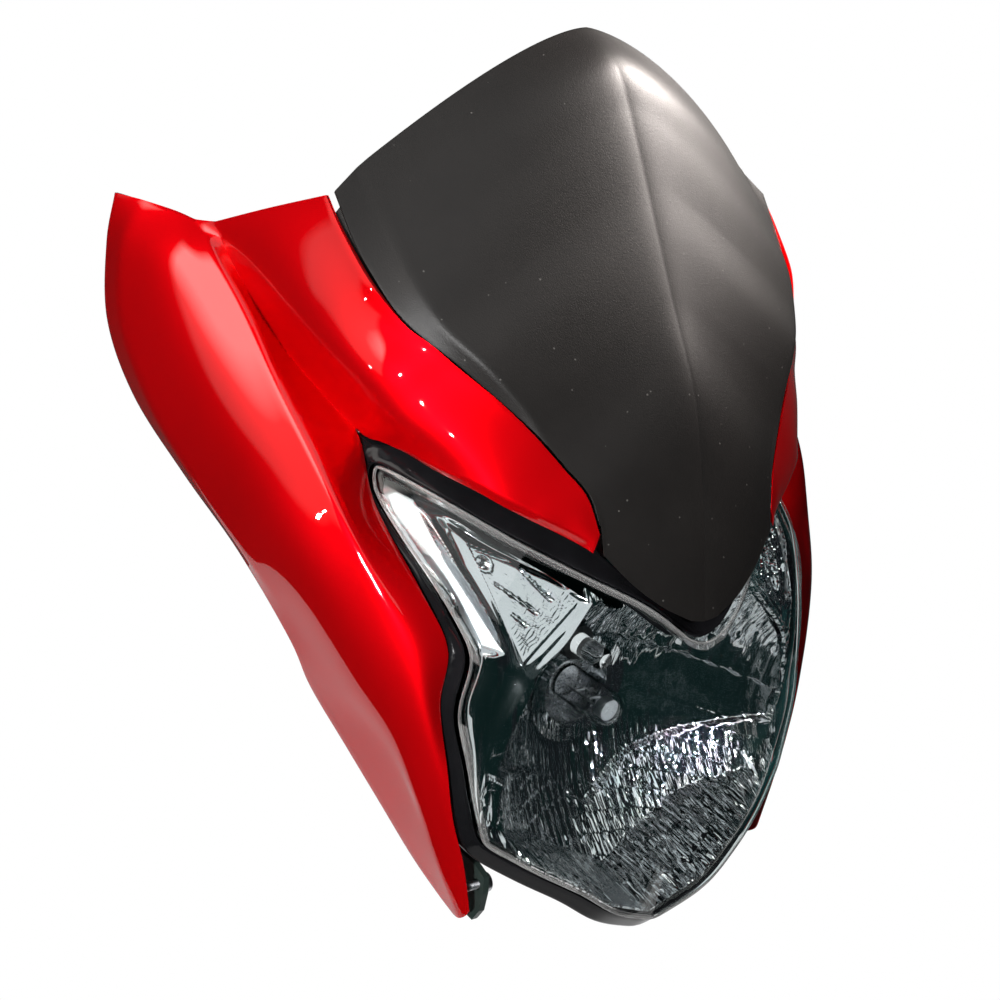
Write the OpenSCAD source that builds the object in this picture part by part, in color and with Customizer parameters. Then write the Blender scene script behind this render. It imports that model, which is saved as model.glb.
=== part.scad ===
// Motorbike headlight cowl: a matt black visor, two side cowls and a sealed lamp
// with its reflector and bulb. +Z is up and the front faces -Y. The origin is
// the middle of the four mounting points on the back of the lamp housing.

/* [Overall] */
// Widest part of the two side cowls, across their rear edges
cowl_w = 330; // [300:1:360]
// Height of the visor's top edge above its lower tip
visor_rise = 221; // [200:1:240]
// Height of the lamp below the visor's lower tip
lamp_drop = 145; // [135:1:155]
// Distance from the visor's lower tip back to the cowls' rear tips
cowl_reach = 252; // [235:1:270]
// Distance from the visor's lower tip back to the mounting plane
mount_back = 130; // [128:1:136]
// Drop from the visor's lower tip to the middle of the mounting points
mount_drop = 60; // [56:1:64]

/* [Shell walls] */
// Wall of the visor
visor_wall = 3; // [2.5:0.1:3.4]
// Wall of the side cowls
cowl_wall = 2.8; // [2.2:0.1:3.2]
// Gap in the joint between the visor and the side cowls
seam_gap = 1; // [0.6:0.1:1.6]
// How far the visor's front bulges between its keel and its side folds
visor_crown = 4; // [2:0.5:7]

/* [Lamp] */
// Wall of the lens
lens_wall = 2.5; // [2:0.1:3]
// Depth of the lens skirt that enters the housing
lens_skirt = 12; // [9:0.5:14]
// Running gap round the lens skirt
lens_fit = 0.3; // [0.2:0.05:0.5]
// Thickness of the sealing bead under the skirt
seal_h = 2; // [1.5:0.1:2.5]
// Wall of the lamp housing
housing_wall = 3; // [2.5:0.1:3.5]
// How far the housing's rim stands out past the lens
rim_step = 5.5; // [4.5:0.1:6.5]
// How much further the rim stands out beneath the side cowls' arms
shoulder_w = 10; // [8:0.5:12]
// Bulge of the housing behind its rim, as it tapers to its neck
housing_belly = 6; // [3:0.5:9]
// Outer radius of the housing's round neck
neck_r = 48; // [46:0.5:50]

/* [Reflector] */
// Drop of the bulb's axis below the middle of the mounting points
bulb_drop = 6; // [4:0.5:8]
// Distance from the mounting plane forward to the deepest point of the bowl
bowl_back = 58; // [56:0.5:60]
// Focal length of the bowl
bowl_focus = 19; // [18:0.5:21]
// Depth of the reflector's wall from front to back
bowl_wall = 2; // [1.6:0.1:2.4]
// Pitch of the upright flutes in the lower half of the bowl
flute_pitch = 8; // [7:0.5:10]
// Depth of those flutes
flute_depth = 1.2; // [0.8:0.1:1.8]
// Depth of the chromed ear bezels' wall from front to back
bezel_wall = 1.8; // [1.5:0.1:2.2]

/* [Bulb] */
// Radius of the main bulb's mounting flange
flange_r = 21.5; // [21:0.1:22]
// Radius of the main bulb's glass
glass_r = 8.5; // [8:0.1:9]
// Length of the glass in front of its metal sleeve
glass_len = 36; // [32:0.5:38]
// Radius of the pilot bulb's glass
pilot_r = 5; // [4.5:0.1:5.4]

/* [Mounting] */
// Spacing of the mounting points from side to side
mount_x = 100; // [96:1:104]
// Spacing of the mounting points up and down
mount_z = 76; // [72:1:80]
// Radius of the bores for the mounting bolts
mount_r = 3.3; // [3.2:0.05:3.6]
// Thickness of the housing's mounting plate
plate_t = 5; // [4:0.5:6]
// Gap of each seated joint
seat_gap = 0.2; // [0.1:0.05:0.3]
// Thickness of the pressed steel stay
stay_t = 2.5; // [2:0.1:3]
// Width of the steel stay's legs and arms
stay_w = 18; // [16:0.5:20]
// Radius of the screw bosses on the visor and cowls
boss_r = 5; // [4.5:0.1:5.5]
// Radius of the screws' shanks
screw_r = 2; // [1.8:0.05:2.2]

/* [Hidden] */

// The styled lines are in the tip frame: the visor's lower tip is at zero.
// Each is half of a symmetric pair, drawn at the styling size below.
style_w = 330;
style_rise = 221;
style_drop = 145;
style_reach = 252;
kx = cowl_w/style_w;
ky = cowl_reach/style_reach;
kup = visor_rise/style_rise;
kdown = lamp_drop/style_drop;
function placed(p) = [p[0]*kx, p[1]*ky - mount_back, p[2]*(p[2] > 0 ? kup : kdown) + mount_drop];

// Smooth curve through the points p, at t from 0 to 1 along its chords
function chords(p) = [for (i = 0, s = 0; i < len(p);
    s = s + (i + 1 < len(p) ? norm(p[i + 1] - p[i]) : 0), i = i + 1) s];
function slope(p, c, i) = i == 0 ? (p[1] - p[0])/(c[1] - c[0])
  : i == len(p) - 1 ? (p[i] - p[i - 1])/(c[i] - c[i - 1])
  : (p[i + 1] - p[i - 1])/(c[i + 1] - c[i - 1]);
function hermite(a, b, ta, tb, f) = (2*f*f*f - 3*f*f + 1)*a + (f*f*f - 2*f*f + f)*ta
  + (3*f*f - 2*f*f*f)*b + (f*f*f - f*f)*tb;
function on_curve(p, c, t) = let(
    s = t*c[len(p) - 1],
    i = max([for (k = [0 : len(p) - 2]) c[k] <= s + 1e-9 ? k : 0]),
    h = c[i + 1] - c[i])
  hermite(p[i], p[i + 1], slope(p, c, i)*h, slope(p, c, i + 1)*h, (s - c[i])/h);
function curve(p, n) = let(c = chords(p)) [for (k = [0 : n]) on_curve(p, c, k/n)];
// The same, with n steps between each two points
function station_curve(p, n) = let(c = [for (i = [0 : len(p) - 1]) i])
  [for (k = [0 : n*(len(p) - 1)]) on_curve(p, c, k/(n*(len(p) - 1)))];
function mix(a, b, t) = a + (b - a)*t;
function flip(p) = [-p[0], p[1], p[2]];
function unit(v) = v/norm(v);

// Outward direction of a grid of points at row i and column j
function grid_normal(g, i, j) = let(r = len(g) - 1, c = len(g[0]) - 1)
  unit(cross(g[min(i + 1, r)][j] - g[max(i - 1, 0)][j], g[i][min(j + 1, c)] - g[i][max(j - 1, 0)]));
function grid_inset(g, wall) = [for (i = [0 : len(g) - 1])
  [for (j = [0 : len(g[0]) - 1]) g[i][j] - wall*grid_normal(g, i, j)]];
function flat(rows) = [for (row = rows) each row];
// Triangles of a grid of r by c cells whose points start at index s
function grid_faces(r, c, s, out) = [for (i = [0 : r - 1], j = [0 : c - 1])
  let(a = s + i*(c + 1) + j, b = a + 1, d = a + c + 1, e = d + 1)
  each out ? [[a, b, e], [a, e, d]] : [[a, e, b], [a, d, e]]];
// Border of such a grid, as indices in order: right along the top, then down
function grid_border(r, c, s) = concat([for (j = [0 : c - 1]) s + j],
  [for (i = [0 : r - 1]) s + i*(c + 1) + c],
  [for (j = [c : -1 : 1]) s + r*(c + 1) + j],
  [for (i = [r : -1 : 1]) s + i*(c + 1)]);
// Band of triangles between two rings of indices of one length
function band(p, q) = let(n = len(p)) [for (k = [0 : n - 1])
  let(m = (k + 1) % n) each [[p[k], q[k], q[m]], [p[k], q[m], p[m]]]];
// The same, with its diagonals the other way
function band_back(p, q) = [for (f = band(q, p)) [f[2], f[1], f[0]]];

// Closed shell between a grid of outer points and its inset
module grid_shell(g, wall) {
  r = len(g) - 1;
  c = len(g[0]) - 1;
  n = (r + 1)*(c + 1);
  polyhedron(points = concat(flat(g), flat(grid_inset(g, wall))),
    faces = concat(grid_faces(r, c, 0, true), grid_faces(r, c, n, false),
      band(grid_border(r, c, 0), grid_border(r, c, n))), convexity = 8);
}

// Visor: keel, side fold and outer edge, top to bottom
keel_line = [[0, 141, 221], [0, 118, 210], [0, 104, 193], [0, 81.5, 160], [0, 57, 124],
  [0, 32, 88], [0, 14, 44], [0, 0, 0]];
joint_line = [[124.3, 133, 150], [123.2, 119, 135.5], [120.8, 108, 125], [113.2, 90, 109],
  [95.6, 69, 94], [72.5, 47, 74], [60.2, 35, 60.5], [53, 27.5, 51.5], [50, 22.5, 42], [49, 17.5, 29]];
fold_line = [[111, 137.5, 159.8], [111.3, 116.1, 143.5], [110.3, 103.1, 132.5], [108.5, 91.4, 122.3],
  [102.1, 77.5, 109.3], [90.1, 62, 97.2], [71.2, 46.6, 77.7]];
tip_line = [[49, 17.5, 29], [36, 10, 17], [22, 4, 7.5], [8, 0.5, 1]];
visor_rows = 24;
visor_split = 17;
flange_cols = 2;
face_cols = 9;
nose_r = 0.1;
function all_placed(p) = [for (q = p) placed(q)];
visor_tip = curve(all_placed(tip_line), visor_rows - visor_split);
visor_edge = concat(curve(all_placed(joint_line), visor_split),
  [for (k = [1 : visor_rows - visor_split]) visor_tip[k]]);
visor_keel = curve(all_placed(keel_line), visor_rows);
fold_rows = 12;
visor_fold = let(f = curve(all_placed(fold_line), fold_rows))
  [for (i = [0 : visor_rows]) i <= fold_rows ? f[i] : mix(visor_edge[i], visor_keel[i], 0.07)];
// Rise of the section from the keel (s = 0) to the fold (s = 1), with a round nose
function nose(s) = (sqrt(s*s + nose_r*nose_r) - nose_r)/(sqrt(1 + nose_r*nose_r) - nose_r);
function visor_half(i) = let(k = visor_keel[i], f = visor_fold[i], e = visor_edge[i])
  concat([for (j = [0 : face_cols]) let(s = j/face_cols, g = nose(s))
      [mix(k[0], f[0], s),
        mix(k[1], f[1], g) - visor_crown*4*s*(1 - s)*norm(f - k)/norm(visor_fold[0] - visor_keel[0]),
        mix(k[2], f[2], mix(pow(s, 1.55), g, min(1, i/7)))]],
    [for (j = [1 : flange_cols]) mix(f, e, j/flange_cols)]);
function both_sides(h) = concat([for (j = [len(h) - 1 : -1 : 1]) flip(h[j])], h);
visor_grid = [for (i = [0 : visor_rows]) both_sides(visor_half(i))];

// Side cowl arm: stations of visor side, crown and lower edge
arm_stations = [
  [[127, 134, 148], [134, 166, 134], [141, 196, 120]],
  [[126, 120, 136], [135, 152, 121], [138, 187, 108]],
  [[122, 102, 121], [133, 130, 104], [131, 167, 88]],
  [[113, 88, 108], [128, 108, 90], [122, 149, 71]],
  [[105, 78, 102], [122, 92, 80], [109, 118, 52]],
  [[96, 69, 94.5], [114, 80, 72], [108.5, 96, 52]],
  [[84, 57, 85], [101, 62, 66], [103, 70, 50]],
  [[72.5, 46.5, 74], [87, 47, 58], [91, 46, 47]],
  [[62, 36.5, 62], [71, 35, 50], [77, 34.5, 41]],
  [[54, 28, 52], [60, 27, 43], [64, 27, 35]],
  [[50, 21, 38], [52, 20, 33], [53, 20, 29.5]]];
// Side cowl panel: stations of front edge, ridge, belly, rear fold and rear edge
panel_stations = [
  [[141, 196, 120], [144, 207, 118], [148, 218, 119], [155, 237, 119], [160, 252, 118]],
  [[138, 187, 108], [144, 184, 107], [156, 205, 102], [163, 236, 98], [162, 252, 95]],
  [[131, 167, 88], [142, 158, 92], [158, 182, 80], [165, 225, 66], [163, 243, 62]],
  [[122, 149, 71], [142, 132, 74], [156, 150, 55], [162, 196, 36], [158, 221, 33]],
  [[109, 118, 52], [141, 106, 56], [152, 122, 33], [155, 166, 13], [150, 184, 9]],
  [[114, 90, 30], [137, 82, 34], [146, 96, 9], [145, 134, -10], [141, 147, -13]],
  [[110, 56, 5], [129, 61, 9], [136, 76, -17], [131, 110, -34], [128, 118, -44]],
  [[104, 40, -15], [121, 44, -11], [127, 58, -38], [121, 88, -55], [117, 113, -67]],
  [[107, 35, -38], [115, 34, -38], [118, 45, -58], [114, 62, -66], [109, 92, -87]],
  [[105, 26, -64], [109, 28, -64], [111, 37, -80], [108, 45, -82], [101, 73, -106]],
  [[101, 22, -86], [103, 24, -87], [104, 31, -98], [103, 38, -101], [94, 53, -124]],
  [[94, 18, -108], [95, 19, -110], [97, 25, -118], [96, 30, -120], [89, 38, -135]],
  [[88, 16, -131], [88.5, 17, -134], [88.5, 20, -137], [88, 23, -139], [87, 27, -140]]];
ear_station = 4;
steps = 3;
function placed_rows(stations, col) = station_curve([for (s = stations) placed(s[col])], steps);
arm_a = placed_rows(arm_stations, 0);
arm_b = placed_rows(arm_stations, 1);
arm_c = placed_rows(arm_stations, 2);
panel_c = placed_rows(panel_stations, 0);
panel_d = placed_rows(panel_stations, 1);
panel_e = placed_rows(panel_stations, 2);
panel_g = placed_rows(panel_stations, 3);
panel_f = placed_rows(panel_stations, 4);
slit_row = ear_station*steps;
function three_way(a, b, c, n) = [for (k = [0 : n]) on_curve([a, b, c], [0, 1, 2], k/n)];
arm_grid = [for (i = [0 : len(arm_a) - 1])
  three_way(arm_a[i] + seam_gap*unit(arm_b[i] - arm_a[i]), arm_b[i], arm_c[i], 6)];
panel_grid = [for (i = [0 : len(panel_c) - 1]) let(
    c = i <= slit_row ? arm_c[i] : panel_c[i], d = panel_d[i],
    belly = three_way(d, panel_e[i], panel_g[i], 5))
  concat([c, mix(c, d, 0.5)], belly, [mix(panel_g[i], panel_f[i], 0.5), panel_f[i]])];
arm_last = len(arm_grid[0]) - 1;
function crease_inset(i, wall) = arm_grid[i][arm_last]
  - wall*unit(grid_normal(arm_grid, i, arm_last) + grid_normal(panel_grid, i, 0));
// The seam side leans away from the visor so that the walls don't meet inside
seam_lean = 0.5;
arm_inner = [for (i = [0 : len(arm_grid) - 1]) [for (j = [0 : arm_last])
  j == arm_last && i <= slit_row ? crease_inset(i, cowl_wall)
  : arm_grid[i][j] - cowl_wall*grid_normal(arm_grid, i, j)
    + (j == 0 ? seam_lean*cowl_wall*unit(arm_b[i] - arm_a[i]) : [0, 0, 0])]];
panel_inner = [for (i = [0 : len(panel_grid) - 1]) [for (j = [0 : len(panel_grid[0]) - 1])
  j == 0 && i <= slit_row ? crease_inset(i, cowl_wall)
  : panel_grid[i][j] - cowl_wall*grid_normal(panel_grid, i, j)]];
module cowl_shell() {
  ra = len(arm_grid) - 1;
  ca = arm_last;
  rp = len(panel_grid) - 1;
  cp = len(panel_grid[0]) - 1;
  na = (ra + 1)*(ca + 1);
  np = (rp + 1)*(cp + 1);
  // Points of the panel's first column above the ear are the arm's last column
  function weld(k) = k < na ? k : k >= na && k < na + np
      ? (let(q = k - na, i = floor(q/(cp + 1)), j = q % (cp + 1))
         j == 0 && i <= slit_row ? i*(ca + 1) + ca : k)
    : k < 2*na + np ? k
    : (let(q = k - 2*na - np, i = floor(q/(cp + 1)), j = q % (cp + 1))
       j == 0 && i <= slit_row ? na + np + i*(ca + 1) + ca : k);
  function outline(s, t) = concat([for (j = [0 : ca - 1]) s + j],
    [for (j = [0 : cp - 1]) weld(t + j)],
    [for (i = [0 : rp - 1]) t + i*(cp + 1) + cp],
    [for (j = [cp : -1 : 1]) t + rp*(cp + 1) + j],
    [for (i = [rp : -1 : slit_row + 1]) t + i*(cp + 1)],
    [for (i = [slit_row : ra]) s + i*(ca + 1) + ca],
    [for (j = [ca - 1 : -1 : 1]) s + ra*(ca + 1) + j],
    [for (i = [ra : -1 : 1]) s + i*(ca + 1)]);
  faces = concat(grid_faces(ra, ca, 0, true), grid_faces(rp, cp, na, true),
    grid_faces(ra, ca, na + np, false), grid_faces(rp, cp, 2*na + np, false));
  polyhedron(points = concat(flat(arm_grid), flat(panel_grid), flat(arm_inner), flat(panel_inner)),
    faces = concat([for (f = faces) [for (k = f) weld(k)]],
      band(outline(0, na), outline(na + np, 2*na + np))), convexity = 10);
}

// Lens: middle line and rim lines of its right half
lens_middle = [[0, -9, -145], [0, -11.5, -108], [0, -12, -71], [0, -9, -36], [0, -3, -10]];
lens_side = [[89, 13, -97], [94, 17, -80], [98, 21, -62], [101.5, 28.5, -40], [97.5, 31, -17],
  [101, 40, -4], [107, 54, 10], [110.5, 76, 23], [111, 95, 34], [107, 103, 42]];
lens_bottom = [[0, -9, -145], [27, -11, -133], [46.5, -7.5, -120], [65.5, 0, -110], [89, 13, -97]];
lens_top = [[0, -3, -10], [10, -3, -6], [20, 1, 2], [31, 8, 9], [44, 19, 14], [58, 31, 20], [76, 46, 28],
  [92, 65, 36], [101, 83, 40], [107, 103, 42]];
lens_rows = 18;
lens_cols = 9;
// Smooth patch between four curves, as rows from the top curve down
function patch(inner, outer, bottom, top, rows, cols) = let(
    m = curve(inner, rows), e = curve(outer, rows), b = curve(bottom, cols), u = curve(top, cols))
  [for (i = [rows : -1 : 0]) let(t = i/rows) [for (j = [0 : cols]) let(s = j/cols)
    mix(m[i], e[i], s) + mix(b[j], u[j], t) - mix(mix(b[0], b[cols], s), mix(u[0], u[cols], s), t)]];
lens_grid = [for (row = patch(all_placed(lens_middle), all_placed(lens_side), all_placed(lens_bottom),
  all_placed(lens_top), lens_rows, lens_cols)) both_sides(row)];
// The lens rim as a ring, clockwise from the front, and its outward direction
rim_ids = grid_border(lens_rows, 2*lens_cols, 0);
lens_points = flat(lens_grid);
rim = [for (k = rim_ids) lens_points[k]];
rim_n = len(rim);
function side_out(k) = let(t = rim[(k + 1) % rim_n] - rim[k % rim_n]) unit([-t[2], 0, t[0]]);
sharpest = 0.7;
rim_out = [for (k = [0 : rim_n - 1]) let(a = side_out(k + rim_n - 1), b = side_out(k))
  (a + b)/max(sharpest, 1 + a*b)];
// Ring r outside the rim and y behind it
function ring(r, y) = [for (k = [0 : rim_n - 1]) rim[k] + r*rim_out[k] + [0, y, 0]];
function ids(n, s) = [for (k = [0 : n - 1]) s + k];
// Closed ring through the given rings; the band after ring number back is
// split like the face that it meets
module ring_solid(rings, back = -1) {
  c = len(rings);
  polyhedron(points = flat(rings), faces = [for (i = [0 : c - 1])
    let(p = ids(rim_n, i*rim_n), q = ids(rim_n, ((i + 1) % c)*rim_n))
    each i == back ? band_back(p, q) : band(p, q)], convexity = 10);
}
module lens() color("#d8e4ea", 0.4) {
  c = 2*lens_cols;
  n = len(lens_points);
  back = ring(-lens_wall, lens_wall);
  inner = flat(grid_inset(lens_grid, lens_wall));
  rim_at = [for (m = [0 : n - 1]) let(f = search(m, rim_ids)) len(f) > 0 ? f[0] : -1];
  polyhedron(points = concat(lens_points, ring(0, lens_skirt), ring(-lens_wall, lens_skirt),
      [for (m = [0 : n - 1]) rim_at[m] >= 0 ? back[rim_at[m]] : inner[m]]),
    faces = concat(grid_faces(lens_rows, c, 0, true), band(rim_ids, ids(rim_n, n)),
      band_back(ids(rim_n, n), ids(rim_n, n + rim_n)),
      band(ids(rim_n, n + rim_n), grid_border(lens_rows, c, n + 2*rim_n)),
      grid_faces(lens_rows, c, n + 2*rim_n, false)), convexity = 8);
}
seal_front = lens_skirt + lens_fit;
seal_rear = seal_front + seal_h;
module lens_seal() color("#1b1b1b") ring_solid([ring(0, seal_front), ring(0, seal_rear),
  ring(-lens_wall, seal_rear), ring(-lens_wall, seal_front)], 1);

// Lamp housing: rings from the front lip to the round neck and back inside
lip_y = 3;
ledge_y = seal_rear + lens_fit;
ledge_r = lens_wall + 1.5;
ledge_t = 2.5;
// The rim narrows beside the ears, where the side cowls close in
ear_narrow = 0.6;
// Share of the shoulder at each point of the rim, from beside the visor's tip
shoulder_start = 34;
shoulder_full = 54;
shoulder_end = 108;
shoulder_taper = 14;
function clamped(t) = min(1, max(0, t));
function shoulder(k) = let(x = abs(rim[k][0])/kx) rim_out[k][2] < 0.6 ? 0
  : min(clamped((x - shoulder_start)/(shoulder_full - shoulder_start)),
    clamped((shoulder_end - x)/shoulder_taper));
shoulder_dip = 0.8*shoulder_w;
function rim_w(k) = shoulder_w*shoulder(k) + rim_step*(abs(rim_out[k][0]) < 0.46 ? 1
  : 1 - ear_narrow*min(1, max(0, (rim[k][1] + mount_back - 30)/25)));
function wide_ring(y, inset) = [for (k = [0 : rim_n - 1])
  rim[k] + (rim_w(k) - inset)*rim_out[k] + [0, y, 0]];
function front_ring(y) = [for (k = [0 : rim_n - 1])
  rim[k] + rim_w(k)*rim_out[k] + [0, y + shoulder_dip*shoulder(k), 0]];
function inner_ring(r, y, dip) = [for (k = [0 : rim_n - 1])
  rim[k] + (rim_w(k) - housing_wall - r)/2*rim_out[k] + [0, y - dip*shoulder(k), 0]];
lamp_depth = 97;
shell_back = mount_back - lamp_depth;
function clock(k) = let(p = rim[k], real = atan2(p[2] + bulb_drop, p[0]), even = 137 - 360*k/rim_n)
  (real + even + (real - even > 180 ? -360 : real - even < -180 ? 360 : 0))/2;
function neck_ring(r) = [for (k = [0 : rim_n - 1])
  [r*cos(clock(k)), 1 - shell_back, r*sin(clock(k)) - bulb_drop]];
function mid_ring(a, b, t, bulge) = [for (k = [0 : rim_n - 1])
  mix(a[k], b[k], t) + bulge*4*t*(1 - t)*unit([b[k][0], 1, b[k][2] + bulb_drop])];
wall_y = 25;
neck_in = neck_r - housing_wall;
// Rings of the rear wall, from the rim to the neck, and the same inset
wall_rings = let(o = wide_ring(wall_y, 0), n = neck_ring(neck_r))
  [o, mid_ring(o, n, 0.35, housing_belly), mid_ring(o, n, 0.7, housing_belly), n];
function wall_normal(i, k) = let(a = wall_rings[i])
  unit(cross(a[(k + 1) % rim_n] - a[(k + rim_n - 1) % rim_n],
    wall_rings[min(i + 1, 3)][k] - wall_rings[max(i - 1, 0)][k]));
function wall_inset(i, wall) = [for (k = [0 : rim_n - 1]) wall_rings[i][k] - wall*wall_normal(i, k)];
shoulder_thin = 6;
housing_rings = [ring(lens_fit, lip_y), front_ring(lip_y + 5), each wall_rings,
  wall_inset(3, 0.6*housing_wall), wall_inset(2, housing_wall), wall_inset(1, housing_wall),
  wide_ring(wall_y - housing_wall, housing_wall),
  inner_ring(ledge_r, (wall_y - housing_wall + ledge_y + ledge_t)/2, shoulder_thin),
  ring(-ledge_r, ledge_y + ledge_t),
  ring(-ledge_r, ledge_y), ring(-lens_wall, ledge_y), ring(0, ledge_y), ring(lens_fit, ledge_y)];
// The number of the ring before the ledge's rear
ledge_ring = len(housing_rings) - 6;
// Things turned about the Y axis: x is the radius and y runs forward
module turned(z = 0, x = 0) translate([x, 0, z]) rotate([90, 0, 0]) rotate_extrude($fn = 96) children();
module tube_profile(r_in, r_out, y_near, y_far) translate([r_in, y_near])
  square([r_out - r_in, y_far - y_near]);
module bore(x, z, r, y_near, y_far) translate([x, -y_near, z]) rotate([90, 0, 0])
  cylinder(r = r, h = y_far - y_near, $fn = 48);
plate_back = 6;
plate_front = plate_back + plate_t;
tip_stay_x = 78*kx;
tip_stay_t = 3;
plate_in = 6;
plate_w = 2*(tip_stay_x - plate_in);
plate_h = 116;
plate_corner = 10;
grommet_r = 7.9;
panel_t = 3;
panel_hole_r = 24;
neck_front = shell_back + 4;
mounts = [for (x = [-1, 1], z = [-1, 1]) [x*mount_x/2, z*mount_z/2]];
plate_edge = 7;
stay_screw = [29, plate_h/2 - plate_edge];
foot_in = 12;
foot_screw = [tip_stay_x - foot_in, plate_edge - plate_h/2];
pilot_at = [-20, 28];
module rounded(w, h, r) {
  square([w - 2*r, h], center = true);
  square([w, h - 2*r], center = true);
  for (x = [-1, 1], y = [-1, 1]) translate([x*(w/2 - r), y*(h/2 - r)]) circle(r = r, $fn = 48);
}
module mount_plate() translate([0, -plate_back, 0]) rotate([90, 0, 0]) linear_extrude(plate_t)
  difference() {
  rounded(plate_w, plate_h, plate_corner);
  for (m = mounts) translate(m) circle(r = grommet_r + 0.1, $fn = 48);
  for (s = [-1, 1]) {
    translate([s*stay_screw[0], stay_screw[1]]) circle(r = screw_r + 0.1, $fn = 32);
    translate([s*foot_screw[0], foot_screw[1]]) circle(r = screw_r + 0.1, $fn = 32);
  }
  translate([0, -bulb_drop]) circle(r = neck_in + 1.5, $fn = 96);
}
module lamp_housing() color("#141414") {
  ring_solid(housing_rings, ledge_ring);
  turned(-bulb_drop) tube_profile(neck_in, neck_r + 0.5, plate_back + 1, neck_front);
  turned(-bulb_drop) tube_profile(panel_hole_r, neck_in + 0.8, shell_back - panel_t, shell_back);
  mount_plate();
}

// Reflector: a bowl with upright flutes low down, inside the lens outline
bowl_top = [[0, -19], [10, -15], [20, -7], [31, 0], [40, 7], [45, -3], [50, -14], [64, -40], [74, -62],
  [83, -87]];
bowl_bottom = [[0, -137], [27, -125], [46.5, -112], [65.5, -101.5], [83, -92]];
bowl_rows = 12;
bowl_half = 80;
bowl_half_w = bowl_half*kx;
function styled_z(z) = z*(z > 0 ? kup : kdown) + mount_drop;
function lens_y(x, z) = let(a = abs(x)/kx/98, zt = (z - mount_drop)/(z > mount_drop ? kup : kdown))
  ky*(-11.5 + 33*a*a + 24*pow(max(0, (zt + 36)/50), 1.3)) - mount_back;
lens_air = 11;
flute_top = -20;
function bowl_y(x, z, n) = max(lens_y(x, z) + lens_air,
    -bowl_back - (x*x + (z + bulb_drop)*(z + bulb_drop))/(4*bowl_focus))
  - (n % 2 == 0 && z < flute_top - bulb_drop ? flute_depth : 0);
bowl_cols = 2*ceil(bowl_half_w/flute_pitch);
bowl_grid = [for (i = [0 : bowl_rows]) [for (j = [-bowl_cols : bowl_cols]) let(
    x = j*bowl_half_w/bowl_cols, top = styled_z(lookup(abs(x)/kx, bowl_top)),
    z = mix(top, styled_z(lookup(abs(x)/kx, bowl_bottom)), i/bowl_rows)) [x, bowl_y(x, z, j), z]]];
collar_r = 27;
bulb_hole_r = 18.5;
bulb_seat = shell_back + 8;
flange_t = 2;
socket_r = 8.3;
module reflector() color("#c9ccd0") difference() {
  union() {
    grid_shell_back(bowl_grid, bowl_wall);
    turned(-bulb_drop) tube_profile(0, collar_r, shell_back + seat_gap, bowl_back + 6);
  }
  bore(0, -bulb_drop, flange_r + 0.5, shell_back, bulb_seat + flange_t + seat_gap);
  bore(0, -bulb_drop, bulb_hole_r, shell_back, bowl_back + 30);
  bore(pilot_at[0], pilot_at[1], socket_r + seat_gap, shell_back, bowl_back + 60);
}
// Shell whose drawn face is its front and whose wall lies straight behind it
module grid_shell_back(g, wall) {
  r = len(g) - 1;
  c = len(g[0]) - 1;
  n = (r + 1)*(c + 1);
  polyhedron(points = concat(flat(g), [for (p = flat(g)) p + [0, wall, 0]]),
    faces = concat(grid_faces(r, c, 0, true), grid_faces(r, c, n, false),
      band(grid_border(r, c, 0), grid_border(r, c, n))), convexity = 8);
}

// Ear bezels: chromed panels from the bowl's slanted edge out to the lens rim
bezel_edge = [[82, -88], [74, -63], [64, -41], [50, -15], [40, 6]];
bezel_side = [[86, 22, -91], [88, 26, -80], [91, 30, -62], [94, 36, -40], [90, 39, -18], [93, 46, -5],
  [98, 60, 9], [101, 79, 20], [102, 95, 29], [99, 100, 34]];
bezel_top = [[58, 40, 12], [76, 57, 20], [90, 77, 29], [99, 100, 34]];
bezel_rows = 12;
bezel_cols = 5;
function on_bowl(p) = let(x = p[0]*kx, z = styled_z(p[1]))
  [x, bowl_y(x, z, 1) - flute_depth - bezel_wall - seat_gap, z];
bezel_grid = let(e = [for (p = bezel_edge) on_bowl(p)], side = all_placed(bezel_side),
    n = len(bezel_edge) - 1)
  patch(e, side, [e[0], side[0]], concat([e[n]], all_placed(bezel_top)), bezel_rows, bezel_cols);
module ear_bezel() grid_shell_back(bezel_grid, bezel_wall);
module ear_bezel_left() color("#dfe2e6") ear_bezel();
module ear_bezel_right() color("#dfe2e6") mirror([1, 0, 0]) ear_bezel();

// Main bulb: glass, filaments with their shield, base with three blades
sleeve_r = 10.5;
sleeve_len = 12;
sleeve_front = bulb_seat + flange_t + sleeve_len;
base_len = 13;
base_rear = bulb_seat - base_len;
blade_len = 9;
blade_w = 7.5;
blade_r = 7;
module bulb_glass() color("#eef4f8", 0.4) turned(-bulb_drop) difference() {
  dome_profile(glass_r, sleeve_front, glass_len);
  dome_profile(glass_r - 1, sleeve_front + 1.2, glass_len - 2.4);
}
module dome_profile(r, y, h) {
  translate([0, y]) square([r, h - r]);
  intersection() {
    translate([0, y + h - r]) circle(r = r, $fn = 64);
    translate([0, y + h - r]) square([r, r]);
  }
}
filament_r = 0.8;
module bulb_filaments() color("#8c8f93") translate([0, 0, -bulb_drop]) {
  for (x = [-3, 3]) translate([x, -sleeve_front - 1.3, 0]) rotate([90, 0, 0])
    cylinder(r = 0.5, h = 29.2, $fn = 24);
  for (y = [10, 20]) translate([0, -sleeve_front - y, y == 10 ? 0 : 1]) rotate([0, 90, 0])
    cylinder(r = filament_r, h = 6.4, center = true, $fn = 24);
  translate([0, -sleeve_front - 26, 0]) rotate([90, 0, 0]) difference() {
    cylinder(r = 5, h = 5, $fn = 48);
    translate([0, 0, -1]) cylinder(r = 4.4, h = 5, $fn = 48);
  }
}
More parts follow.
